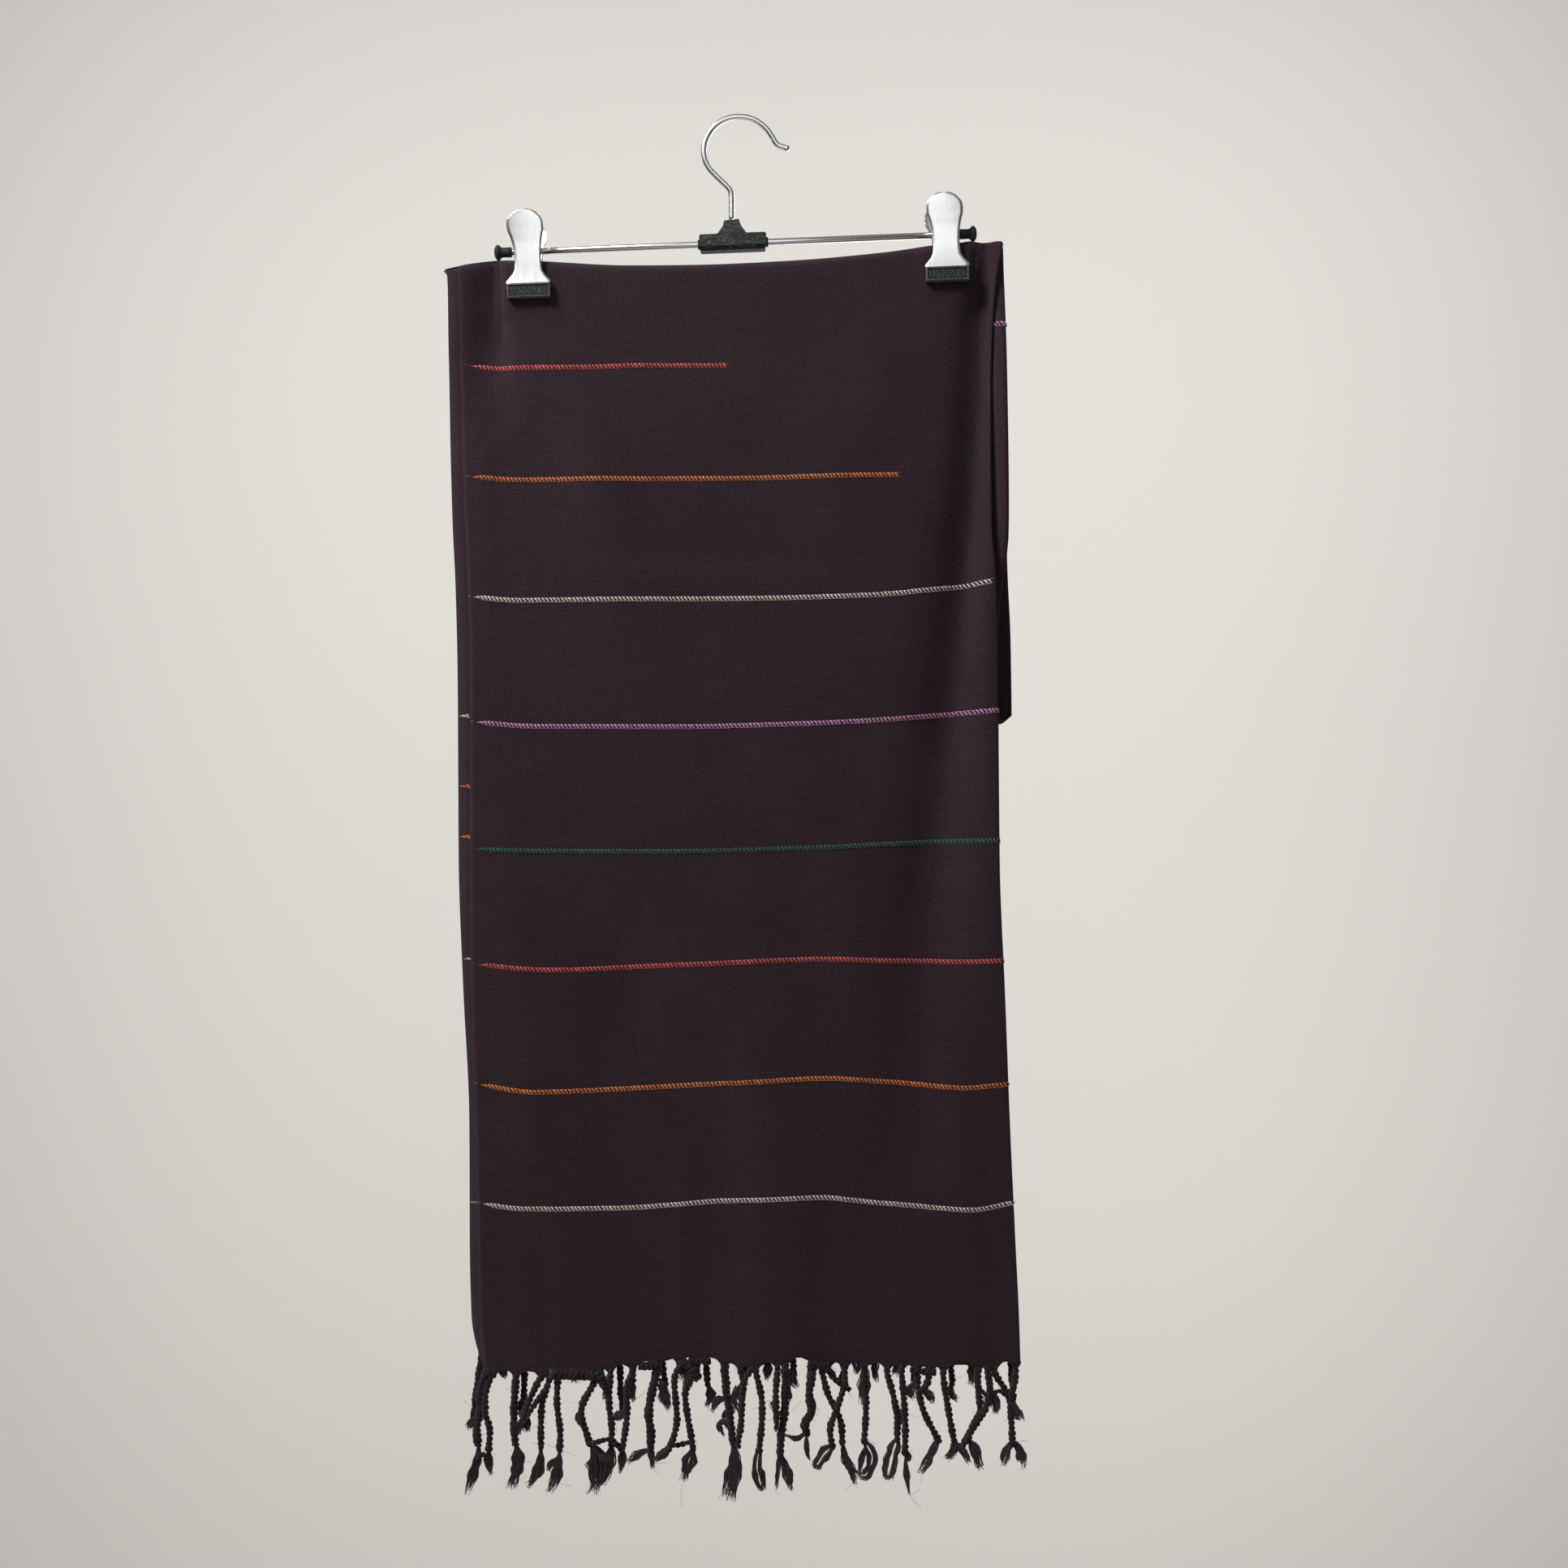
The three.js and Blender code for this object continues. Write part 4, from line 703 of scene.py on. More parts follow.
# ---- Fringe tables ----
# Each front cord: its level towards the front, how thick it is drawn, the points (x, z) that it falls
# through, and the tufts it ends in: kind, points, width.
FRONT_CORDS = table(
    "level girth way tufts",
    (0, 1.25, [(-148.4, -733), (-152.2, -745.3), (-152.8, -759), (-154.6, -769), (-153.8, -779.5)],
     [("brush", [(-153.4, -778.5), (-155, -790), (-160.7, -809)], 6.4), ("leaf", [(-151, -762.5),
     (-156, -764.5), (-160.7, -769.4)], 5.6)]),
    (1, 1.0, [(-144.6, -733.5), (-148.6, -745.3), (-149.2, -759), (-146.6, -769), (-147.2, -781)],
     [("brush", [(-147.2, -780), (-147.2, -788), (-146, -796.4)], 4.6)]),
    (1, 0.7, [(-153.8, -785.4), (-150, -783.6), (-146.6, -785.6)], []),
    (0, 1.18, [(-131.4, -735), (-132.5, -753.8), (-132.7, -768), (-131.8, -779)], [("brush",
     [(-131.8, -777.5), (-130.4, -790), (-135, -805.5)], 8.4), ("leaf", [(-129.4, -758.6), (-126, -765),
     (-124.4, -772)], 5.6)]),
    (1, 1.0, [(-116.2, -735), (-120.6, -746), (-124.8, -755.5), (-127.3, -764)], [("leaf", [(-127, -762),
     (-129.4, -767), (-130, -772.4)], 4.2)]),
    (0, 1.0, [(-111.9, -738), (-115.8, -753.8), (-116.7, -766), (-116.7, -780)], [("brush",
     [(-116.7, -778.6), (-118, -791.5), (-124.8, -804.6)], 6.2)]),
    (1, 0.8, [(-114.8, -746), (-119, -752.4), (-123.9, -760)], [("leaf", [(-123.4, -759), (-126.8, -763.4),
     (-130.4, -764)], 3.0)]),
    (0, 1.0, [(-106.6, -735), (-107.3, -753.8), (-105.4, -770), (-105.8, -782)], [("brush", [(-105.8, -781),
     (-107.2, -794), (-111.9, -807)], 6.6), ("leaf", [(-107, -786), (-110.6, -789), (-113, -794)], 3.2)]),
    (0, 1.08, [(-83.6, -735), (-86.6, -744), (-92, -753.8), (-93, -762.4), (-90.4, -770), (-88, -778)],
     [("leaf", [(-92.4, -758), (-95.6, -762), (-94, -767)], 3.4), ("leaf", [(-84.6, -735), (-79, -744.4),
     (-81, -752.6)], 4.6), ("brush", [(-88, -776), (-82.6, -789), (-86.2, -808)], 13.5)]),
    (0, 1.0, [(-76, -733.3), (-76.8, -753.8), (-75.3, -767.5), (-75.3, -779)], [("brush", [(-75.3, -777.5),
     (-77, -790), (-81, -803)], 7.4)]),
    (1, 0.8, [(-86, -776.4), (-75.6, -774.4), (-68.6, -781.5)], []),
    (0, 1.0, [(-63.1, -733), (-66.4, -745.3), (-66.4, -762.4), (-69, -781)], [("leaf", [(-66.4, -760),
     (-71, -761.6), (-75.4, -764.4)], 4.8), ("brush", [(-69, -779.6), (-69.4, -787.6),
     (-70.2, -796)], 4.8)]),
    (0, 1.3, [(-48.5, -731), (-51.2, -745.3), (-53.7, -760), (-52.4, -771), (-52.6, -780)], [("leaf",
     [(-48, -740), (-44.2, -750.4), (-41.8, -759.4)], 4.8), ("leaf", [(-53.6, -782), (-60, -784.4),
     (-66.8, -789.2)], 4.6), ("brush", [(-52.6, -779), (-52.2, -786), (-51, -793.4)], 4.0)]),
    (1, 1.0, [(-35.7, -729.8), (-38.4, -740), (-37.2, -756), (-37, -765), (-39.4, -775), (-42.4, -782)],
     [("leaf", [(-41.6, -780.6), (-46, -784.4), (-51, -786.6)], 4.0)]),
    (0, 0.75, [(-29.6, -777), (-36, -778.8), (-41.2, -779.8), (-49, -785.6)], []),
    (0, 1.0, [(-25.4, -729.8), (-29.4, -740), (-32.2, -749), (-30.7, -762.4), (-28.6, -774), (-27.6, -781)],
     [("leaf", [(-25.8, -729), (-29, -739), (-32.6, -747)], 7.2), ("brush", [(-27.6, -779.4),
     (-30.4, -789.6), (-33.4, -801)], 7.6)]),
    (0, 1.08, [(-9.2, -731.6), (-8.3, -745.3), (-5.7, -760.7), (-4.2, -776)], [("leaf", [(-7.4, -751),
     (-12.8, -751.6), (-17, -759.4)], 4.0), ("leaf", [(-5.4, -762), (-12.4, -765.8), (-9, -773)], 3.4),
     ("brush", [(-4.2, -774.4), (-3.4, -788), (-9.1, -810)], 8.4), ("brush", [(-4.2, -778), (-2.2, -792),
     (-4.6, -810.4)], 6.0)]),
    (0, 1.0, [(0.2, -731), (2, -739)], []),
    (0, 1.0, [(6.2, -731), (2.6, -739), (1.2, -751), (0.6, -765), (-1.6, -778)], [("leaf", [(2.2, -738),
     (0.6, -747), (1.4, -757)], 4.8), ("leaf", [(-1, -742), (-4, -751), (-1.6, -759)], 4.4)]),
    (0, 1.0, [(9.5, -732), (12.6, -748), (12.9, -762), (11.2, -780)], [("loop", [(11.2, -779), (10, -790),
     (13.4, -803.5)], 6.6)]),
    (1, 1.0, [(21.9, -730), (21, -745), (21.3, -762)], [("leaf", [(18.4, -750), (21, -756),
     (25.6, -759)], 2.8), ("brush", [(21.2, -760), (21.3, -764), (21.2, -768)], 2.6)]),
    (0, 1.2, [(26.4, -729), (26.6, -745), (25.8, -760), (24.2, -770), (23.4, -782)], [("leaf",
     [(26.4, -729), (27.3, -744), (26.2, -760)], 5.2), ("brush", [(23.4, -780), (22, -791),
     (20.9, -803)], 2.6), ("brush", [(23.6, -781), (27, -791), (30.2, -804)], 5.4)]),
    (1, 1.25, [(43.2, -729), (40.5, -746), (41.6, -757), (38, -764), (39, -770)], [("leaf", [(41, -748),
     (41.4, -758), (36.2, -766)], 4.6), ("leaf", [(39.2, -769), (33, -772.5), (25.8, -769.5)], 3.0),
     ("brush", [(38.8, -770), (38.6, -779), (40.6, -786.5)], 2.8)]),
    (0, 1.0, [(48.2, -733), (51.6, -749), (56.2, -757.8), (59.4, -767), (60, -779)], [("brush", [(60, -777),
     (62, -788), (69, -797)], 5.0), ("leaf", [(62, -786), (66, -797), (67.6, -803)], 4.0)]),
    (1, 1.0, [(61.4, -731), (60.8, -744), (56.2, -757.8), (52.8, -768), (54, -779)], [("loop",
     [(54.4, -778), (49, -783), (43.6, -791.4)], 7.4)]),
    (0, 1.0, [(72.4, -730), (73.6, -747), (73.8, -761), (72.8, -777)], [("leaf", [(73, -731), (72.6, -744),
     (71.2, -756.4)], 6.4), ("ring", [(72.8, -776), (77.5, -787), (73, -797), (68, -794)], 6.6), ("brush",
     [(74, -778), (71, -788), (69.5, -797)], 3.0)]),
    (0, 1.0, [(86.4, -735), (89.6, -748.6), (92, -762), (92.2, -777)], [("loop", [(92.2, -775),
     (88.8, -786), (86.2, -799.8)], 8.8), ("leaf", [(91, -757), (94.4, -762), (92.4, -768)], 3.6)]),
    (1, 1.0, [(94.4, -732), (95.6, -748), (96.6, -765), (96.4, -782)], [("leaf", [(96.4, -781),
     (98.6, -784), (96, -788)], 2.8), ("brush", [(96.4, -783), (97.2, -794), (99.2, -806.5)], 2.8)]),
    (0, 1.0, [(103.6, -729), (104.2, -744), (107.4, -758), (113.4, -770), (116.6, -776)], [("leaf",
     [(116, -774), (110.6, -785), (104.6, -795.4)], 5.4), ("leaf", [(104, -740), (99.2, -747),
     (102.2, -752)], 5.2)]),
    (1, 1.0, [(111.6, -730), (109.2, -742), (104.6, -747)], [("leaf", [(105, -744), (110.4, -748),
     (113.4, -753)], 4.6)]),
    (0, 1.0, [(119, -736), (121.2, -753), (123.6, -767), (125.4, -776)], [("leaf", [(125.4, -775),
     (124, -782), (119.6, -786)], 4.6), ("leaf", [(126, -776), (131, -782), (134.6, -789)], 4.4)]),
    (0, 1.0, [(138.6, -733), (139.4, -746), (140.4, -758), (136.4, -766), (133.4, -772), (130.6, -778)],
     [("leaf", [(130.6, -777), (126.4, -779), (121, -785)], 3.8)]),
    (1, 1.0, [(145, -735), (146, -745.5), (142.4, -758), (135.4, -768), (133.2, -774)], [("brush",
     [(133.4, -773), (137.6, -781), (140.4, -792.6)], 6.8)]),
    (0, 1.0, [(149.4, -734), (155, -745.5), (157.8, -751.4), (159, -763), (159.8, -779)], [("leaf",
     [(159.8, -777), (155.6, -782), (154.4, -791.4)], 6.0), ("leaf", [(160, -777), (164, -782),
     (166.6, -794)], 5.6)]),
    (1, 1.0, [(161.6, -731), (160.6, -742), (157.8, -750)], []),
    (1, 0.7, [(140, -741), (146, -749.5), (151, -746), (157.4, -750)], [("leaf", [(146, -748), (150, -752),
     (149.2, -760)], 4.6), ("leaf", [(157.6, -750.5), (161, -756), (166, -764)], 4.6)]),
    (1, 0.85, [(51.6, -732), (54.4, -739), (64.4, -746)], [("leaf", [(52, -733), (54.2, -738),
     (57, -741)], 3.6)]),
)
# Yarn that lies rolled up along the hem: the points it runs through.
HEM_ROLLS = table(
    "girth way",
    (1.7, [(-110, -736), (-104.6, -737), (-98, -736.4), (-91, -737), (-85.6, -737.4)]),
    (1.2, [(-59, -732.4), (-54, -732.2), (-48.4, -731)]),
    (1.5, [(-34, -729.6), (-30, -732), (-26.4, -736), (-24.8, -739.6)]),
    (1.0, [(-30, -729.4), (-24, -729), (-17.6, -728.8)]),
    (1.3, [(-84, -736), (-81, -740), (-79.6, -745)]),
    (1.1, [(100, -734), (107, -734.8), (114, -735)]),
    (1.1, [(40, -730.6), (46, -731.6), (52, -733)]),
)
# Each rear cord: x at root and tip, the tip's height, and which way its tuft curls.
UNDER_CORDS = table(
    "root tip end curl",
    (-146, -158, -770, -3), (-138, -140, -743, 2), (-127, -127.5, -765, 3), (-113, -112, -741, -2),
    (-100, -98, -744, 2), (-88, -81.5, -748, 3), (-75, -70, -764, -3), (-62, -64, -757, 2),
    (-50, -43.5, -758, 4), (-37, -34, -744, -2), (-25, -18.5, -758, -5), (-14, -6.5, -772, 4),
    (-1, 2.5, -745, 2), (12, 16, -742, -2), (25, 32, -746, 4), (38, 41, -742, -3), (52, 62, -749, 4),
    (66, 69, -741, -2), (78, 80, -745, 2), (91, 92, -742, -3), (104, 104, -747, 3), (116, 126, -756, 5),
    (128, 136, -745, -3), (140, 148, -760, 3), (151, 162, -766, 5),
)
ROOT_HEIGHT = -741.5  # a cord that starts above this leaves the hem
front_roots = np.array([c["way"][0][0] for c in FRONT_CORDS if c["way"][0][1] > ROOT_HEIGHT])
under_roots = np.array([c["root"] for c in UNDER_CORDS], float)


# ---- The cloth ----
# Rows are close together where the rear stretch shows and at the front hem.
under_shares, front_shares = two_spacings(0.46, 18, 54), two_spacings(0.975, 118, 8)
turn_steps, inner_steps = np.linspace(0, 1, 9), np.linspace(0, 1, 6)
WEAVE_LINE = 60
flap_shares, inside_shares = np.linspace(0, 1, 40), np.linspace(0, 1, 22)

# The rows run from the rear hem up, over the top edge, down and up the flap and down to the front hem.
rows = hanging_rows(
    under_edges, under_hem_z, under_shares, inner_radius, FOLD_BULGE["under"], under_roots, MIDDLE)[::-1]
rows += turn_rows(under_edges, inner_steps[1:], inner_radius, 0, -1)
rows += turn_rows(flap_in_edges, inner_steps[::-1][1:], inner_radius, 0, 1)
rows += flap_rows(flap_in_edges, inside_shares[1:], inner_radius, FOLD_BULGE["flap_inside"], INSIDE_REACH)
rows += flap_end_rows(turn_steps[::-1][1:-1])
rows += flap_rows(flap_out_edges, flap_shares[::-1], outer_radius, FOLD_BULGE["flap"])
rows += turn_rows(flap_out_edges, turn_steps[1:], outer_radius, 0, 1)
rows += turn_rows(front_edges, turn_steps[::-1][1:], outer_radius, 0, -1)
rows += hanging_rows(
    front_edges, hem_z, front_shares[1:], outer_radius, FOLD_BULGE["front"], front_roots)
sheet_grid = np.array(rows)

# The weave's coordinates are lengths along one row and one column, away from the edges.
u = arc_lengths(sheet_grid[-WEAVE_LINE]) * MM
v = arc_lengths(sheet_grid[:, WEAVE_LINE]) * MM
weave_uv = np.stack(np.broadcast_arrays(u[None, :], v[:, None]), -1).reshape(-1, 2)

sheet = Parts()
sheet.add(sheet_grid, grid_faces(*sheet_grid.shape[:2]))
stole = piece(
    "stole_cloth", sheet, cloth, ("front_ply", "under_ply", "back_flap"), uv=weave_uv)
numbers = np.arange(sheet.count).reshape(sheet_grid.shape[:2])
inside = stole.vertex_groups.new(name="full_thickness")
inside.add(numbers[:, 1:-1].ravel().tolist(), 1.0, "REPLACE")
shell = stole.modifiers.new("thickness", "SOLIDIFY")
shell.vertex_group, shell.thickness_vertex_group = inside.name, SELVEDGE_SHARE
shell.thickness, shell.offset = THREAD_SHEET * MM, 0

# ---- Inlaid stripes ----
INLAY = {
    "rail": 0.11, "height": 2.4, "pitch": 2.25, "slant": 2.0, "stroke": 0.46, "lift": 0.44, "opening": 7}
DASH = {"length": 2.6, "pitch": 4.2, "rise": 0.5}


def surface(edges, radius, bulge, place, reach=FOLD_REACH):
    """A function that puts x (past the fold it runs on round it), z and lift on a stretch."""

    def put(x, z, lift):
        x, z = np.broadcast_arrays(np.asarray(x, float), np.asarray(z, float))
        outer, inner, fold = edges.at(z, z)
        axis, turn, _ = fold_round(fold, bulge)
        flat = (x - outer) / (axis - outer)
        position = np.where(x <= axis, flat, np.minimum(1 + (x - axis) / (math.pi * turn), 2))
        over = np.clip((x - axis - math.pi * turn) / (axis - inner), 0, 1)
        x, depth = section(outer, inner, fold, position + over, bulge, lift, reach)
        return place(x, depth, z, radius)

    return put


front_surface = surface(front_edges, outer_radius, FOLD_BULGE["front"], on_front)
under_surface = surface(under_edges, inner_radius, 0.0, on_front)
flap_surface = surface(flap_out_edges, outer_radius, FOLD_BULGE["flap"], on_back)
flap_inside_surface = surface(flap_in_edges, inner_radius, FOLD_BULGE["flap_inside"], on_back, INSIDE_REACH)


def behind_surface(x, z, lift):
    """The wrong side of the front stretch's inner thickness, which shows past its selvedge."""
    x, z = np.broadcast_arrays(np.asarray(x, float), np.asarray(z, float))
    return on_front(x, FAR_MIDDLE - lift, z, outer_radius)


def add_stripe(parts, put, start, end, level, dash):
    """An openwork stripe: two rails joined by slanting strokes, after a first small dash."""
    half, lift = INLAY["height"] / 2, INLAY["lift"]
    if dash:
        x = np.linspace(start, start + DASH["length"], 6)
        fat = INLAY["rail"] * np.array([0.4, 0.9, 1.1, 1.1, 0.9, 0.4])
        add_tube(parts, put(x, level(x) + DASH["rise"], lift), fat, 5, flat=0.7)
        start = start + DASH["pitch"]

    def opening(x):
        return smoothstep(x, start - 0.1, start + INLAY["opening"])

    x = np.arange(start, end, 1.6)
    wobble = 0.09 * np.sin(x * 0.9) + 0.07 * np.sin(x * 0.37 + start)
    for side in (-1, 1):
        rail = put(x, level(x) + wobble + side * half * opening(x), lift)
        add_tube(parts, rail, INLAY["rail"], 5, flat=0.75)
    centres = np.arange(start + 3.0, end - INLAY["slant"], INLAY["pitch"])
    t = np.linspace(-1, 1, 4)
    for centre in centres + rng.normal(0, 0.08, len(centres)):
        x = centre + t * INLAY["slant"] / 2 * rng.uniform(0.9, 1.1)
        stroke = put(x, level(x) - t * half * float(opening(centre)), lift + 0.16 * (1 - t * t))
        add_tube(parts, stroke, INLAY["stroke"] * rng.uniform(0.85, 1.12), 5)


STRIPES = table(
    "colour surface start end dash line",
    ("red", front_surface, -162.4, -6, True, [(-163, -145.2), (-150, -145.8), (-125, -147.2), (-95, -147.4),
     (-60, -146.2), (-6, -146.4)]),
    ("orange", front_surface, -160.8, 95.5, True, [(-161, -211.2), (-130, -213), (-60, -212.6), (0, -212.2),
     (50, -211), (96, -210)]),
    ("white", front_surface, -160.2, 148.5, True, [(-161, -281.2), (-130, -283.6), (-60, -283), (0, -282.6),
     (50, -281.6), (85, -280), (130, -274.6), (150, -272)]),
    ("lilac", front_surface, -158.2, 172, True, [(-159, -354.6), (-120, -357.4), (-40, -357.6), (30, -356),
     (85, -353.4), (125, -350), (153, -348), (175, -347)]),
    ("green", front_surface, -157.6, 172, True, [(-158, -429), (-120, -430.4), (-40, -430.6), (40, -428.6),
     (95, -426), (153, -424), (175, -423)]),
    ("red", front_surface, -157.2, 176, True, [(-158, -496.6), (-110, -500), (-30, -496.8), (51, -493.8),
     (113, -495.7), (154, -494.2), (180, -493)]),
    ("orange", front_surface, -156, 178, True, [(-157, -566.6), (-120, -571.4), (-6, -566.2), (47, -563.8),
     (129, -569), (156, -566.6), (182, -565)]),
    ("white", front_surface, -154.8, 182, True, [(-155, -636.6), (-128, -640), (-77, -640), (-6, -634.8),
     (42, -633.3), (90, -638), (137, -640), (160, -636), (186, -634)]),
    ("white", under_surface, -149, 170, True, [(-150, -584), (-110, -586), (-20, -580.5), (60, -583),
     (120, -585), (152, -582), (175, -581)]),
    ("orange", under_surface, -152, 168, True, [(-153, -513), (-110, -516), (-20, -511), (50, -509.4),
     (120, -514), (150, -512), (172, -511)]),
    ("red", under_surface, -153.5, 166, True, [(-155, -443), (-110, -446), (-30, -443), (50, -440.4),
     (110, -442), (148, -441), (170, -440)]),
    ("green", under_surface, -155, 164, True, [(-156, -374), (-110, -375.6), (-40, -375.8), (40, -373.6),
     (95, -371.6), (147, -370), (168, -370)]),
    ("green", flap_surface, -168, -108, True, [(-170, -96.2), (-150, -92), (-108, -91.4)]),
    ("lilac", flap_inside_surface, 144, 164, False, [(144, -120.6), (166, -122.4)]),
    ("white", behind_surface, -164.6, -157, False, [(-166, -351.2), (-156, -351.6)]),
    ("red", behind_surface, -164.4, -157, False, [(-166, -392.4), (-156, -392.8)]),
    ("orange", behind_surface, -164.2, -156.6, False, [(-166, -422), (-155, -422.4)]),
    ("white", behind_surface, -162, -156.6, False, [(-166, -493.4), (-155, -493.8)]),
    ("white", behind_surface, -158.6, -153.6, False, [(-160, -636.4), (-150, -636.8)]),
)
for colour, material in inlay_yarns.items():
    threads = Parts()
    for stripe in (s for s in STRIPES if s["colour"] == colour):
        level = curve(table("x z", *stripe["line"]), "x", "z")
        add_stripe(threads, stripe["surface"], stripe["start"], stripe["end"], level, stripe["dash"])
    piece(f"inlay_{colour}", threads, material)

# ---- Fringe ----
CORD = {"plies": 2, "ply": 1.2, "offset": 0.97, "pitch": 6.2, "sides": 6, "spacing": 0.6, "level": 2.6}
FRONT_CORD_Y, UNDER_CORD_Y = -5.2, -1.5
KNOT = {"turns": 2.6, "points": 34, "taper": 0.35, "tilt": 0.35, "length": 1.05, "yarn": 0.44}
TUFT = {"spacing": 1.6, "step": 2.2, "flat": 0.42, "wave": 0.36, "fly": 0.16}
FIBRES = {"least": 15, "each_mm": 6, "hollow": 1.5}  # how many, by a tuft's width and kind
STRAY = {"count": 260, "reach": 9, "radius": 0.085}
HEM_BITE = 0.4  # how far below the hem's line a cord starts
ROOT_KNOT = (0, 0, -1.6)  # from a cord's first point to its knot


def add_cord(parts, route, girth):
    """Plies twisted round each other along a route."""
    route = through(route, CORD["spacing"])
    side, up = frames(route, YARN_UP)
    arc = arc_lengths(route)
    uneven = 1 + 0.1 * np.sin(arc * 0.5 + rng.uniform(0, 6)) + 0.06 * np.sin(arc * 1.3 + rng.uniform(0, 6))
    start = rng.uniform(0, 2 * math.pi)
    for turn in range(CORD["plies"]):
        phase = (2 * math.pi * (arc / CORD["pitch"] + turn / CORD["plies"]) + start)[:, None]
        ply = route + CORD["offset"] * girth * uneven[:, None] * (np.cos(phase) * side + np.sin(phase) * up)
        add_tube(parts, ply, CORD["ply"] * girth * uneven, CORD["sides"])


def add_knot(parts, centre, size):
    """A small wound knot: turns of yarn round the cord."""
    turns = np.linspace(0, KNOT["turns"] * 2 * math.pi, KNOT["points"])
    share = np.linspace(-1, 1, KNOT["points"])
    radius = size * (1 - KNOT["taper"] * share**2)
    tilt = rng.uniform(-KNOT["tilt"], KNOT["tilt"])
    x, y = radius * np.cos(turns), radius * np.sin(turns)
    z = size * KNOT["length"] * share + tilt * x
    add_tube(parts, np.stack([x, y, z], -1) + centre, size * KNOT["yarn"], 5, reference=(0.1, 0.2, 1))


def tuft_profile(kind, t):
    """A tuft's width along it, as a share of its full width."""
    if kind == "brush":
        return 0.16 + 0.84 * smoothstep(t, 0, 0.42) * (1 - 0.62 * smoothstep(t, 0.5, 1))
    if kind in ("loop", "ring"):
        return 0.18 + 0.82 * np.sin(np.clip(t, 0, 1) * math.pi) ** 0.7
    return 0.3 + 0.7 * np.sin(np.clip(t * 0.9 + 0.06, 0, 1) * math.pi) ** 0.8


def add_tuft(parts, kind, points, width):
    """A bundle of loose fibres along a route: a brush, a hollow loop or a matted leaf."""
    route = through(points, TUFT["spacing"])
    side, up = frames(route, YARN_UP)
    hollow = kind in ("loop", "ring")
    t = np.linspace(0, 1, len(route))

    def along(s, values):
        return np.stack([np.interp(s, t, values[:, k]) for k in range(3)], -1)

    ragged = 1 + 0.2 * np.sin(9 * t + rng.uniform(0, 6)) + 0.13 * np.sin(23 * t + rng.uniform(0, 6))
    spread = tuft_profile(kind, t) * ragged * width / 2
    count = max(5, int(arc_lengths(route)[-1] / TUFT["step"]))
    fibres = (FIBRES["least"] + FIBRES["each_mm"] * width) * (FIBRES["hollow"] if hollow else 1)
    for _ in range(int(fibres)):
        angle, away = rng.uniform(0, 2 * math.pi), math.sqrt(rng.uniform(0, 1))
        sideways = math.cos(angle) * away
        if hollow:
            sideways = math.copysign(0.28 + 0.72 * abs(sideways), sideways)
        stop = rng.uniform(0.6, 1.0) if kind != "loop" else rng.uniform(0.85, 1.0)
        begin = 0.0 if kind != "leaf" else rng.uniform(0, 0.25)
        s = np.linspace(begin, stop, count)
        wave = rng.normal(0, TUFT["wave"]) * np.sin(s * rng.uniform(4, 12) + rng.uniform(0, 6))
        wave = wave * smoothstep(s, 0, 0.3)
        fly = rng.normal(0, TUFT["fly"]) * width * smoothstep(s, 0.7, 1.0) ** 2
        wide = np.interp(s, t, spread)
        point = along(s, route) + along(s, side) * (sideways * wide + wave + fly)[:, None]
        point = point + along(s, up) * (math.sin(angle) * away * wide * TUFT["flat"])[:, None]
        thick = rng.uniform(0.24, 0.48) * (1 - 0.6 * smoothstep(s, 0.55, 1.0))
        add_tube(parts, point, thick, 3)


def add_stray_hairs(parts, places):
    """Single hairs that stand off the cords and tufts."""
    reach = STRAY["reach"]
    for _ in range(STRAY["count"]):
        start = places[rng.integers(len(places))]
        heading = rng.normal(0, 1, 3) * (1, 0.35, 0.8)
        heading /= np.linalg.norm(heading)
        bend = rng.normal(0, 1, 3) * (0.5, 0.2, 0.5)
        t = np.linspace(0, 1, 7)[:, None] * rng.uniform(0.3, 1) * reach
        route = start + heading * t + bend * t * t / reach
        add_tube(parts, route, STRAY["radius"] * rng.uniform(0.6, 1.2), 3)


def cord_points(points, bottom, root_y, level, sway=0.0):
    """A cord's points (x, z) where it hangs: at its root's depth first, then at its own level."""
    x, z = np.array(points, float).T
    fall = smoothstep(bottom(x) - z, 0, 16)
    depth = root_y + drape(x, bottom(x)) - CORD["level"] * level * fall
    return np.stack([x, depth + sway, z], -1)


front_cords, front_tufts = Parts(), Parts()
strays = []
for cord in FRONT_CORDS:
    hang = (hem_z, FRONT_CORD_Y, cord["level"], 0.35 * rng.normal())
    way = cord_points(cord["way"], *hang)
    root_x, root_z = cord["way"][0]
    if root_z > ROOT_HEIGHT:
        root = [root_x, way[0][1], float(hem_z(root_x)) - HEM_BITE]
        way = np.vstack([root, way[0] + (0, 0, -2.5), way[1:]])
        add_knot(front_cords, way[0] + ROOT_KNOT, 1.15)
    add_cord(front_cords, way, cord["girth"])
    strays += list(through(way, 3))
    for kind, points, width in cord["tufts"]:
        places = cord_points(points, *hang)
        add_tuft(front_tufts, kind, places, width)
        strays += list(through(places, 3))
    if cord["tufts"] and cord["tufts"][-1][0] != "leaf":
        add_knot(front_cords, way[-1], 1.3 * cord["girth"])

for roll in HEM_ROLLS:
    points = np.array([(x, FRONT_CORD_Y - 0.8 + float(drape(x, z)), z) for x, z in roll["way"]])
    add_cord(front_cords, points, roll["girth"])

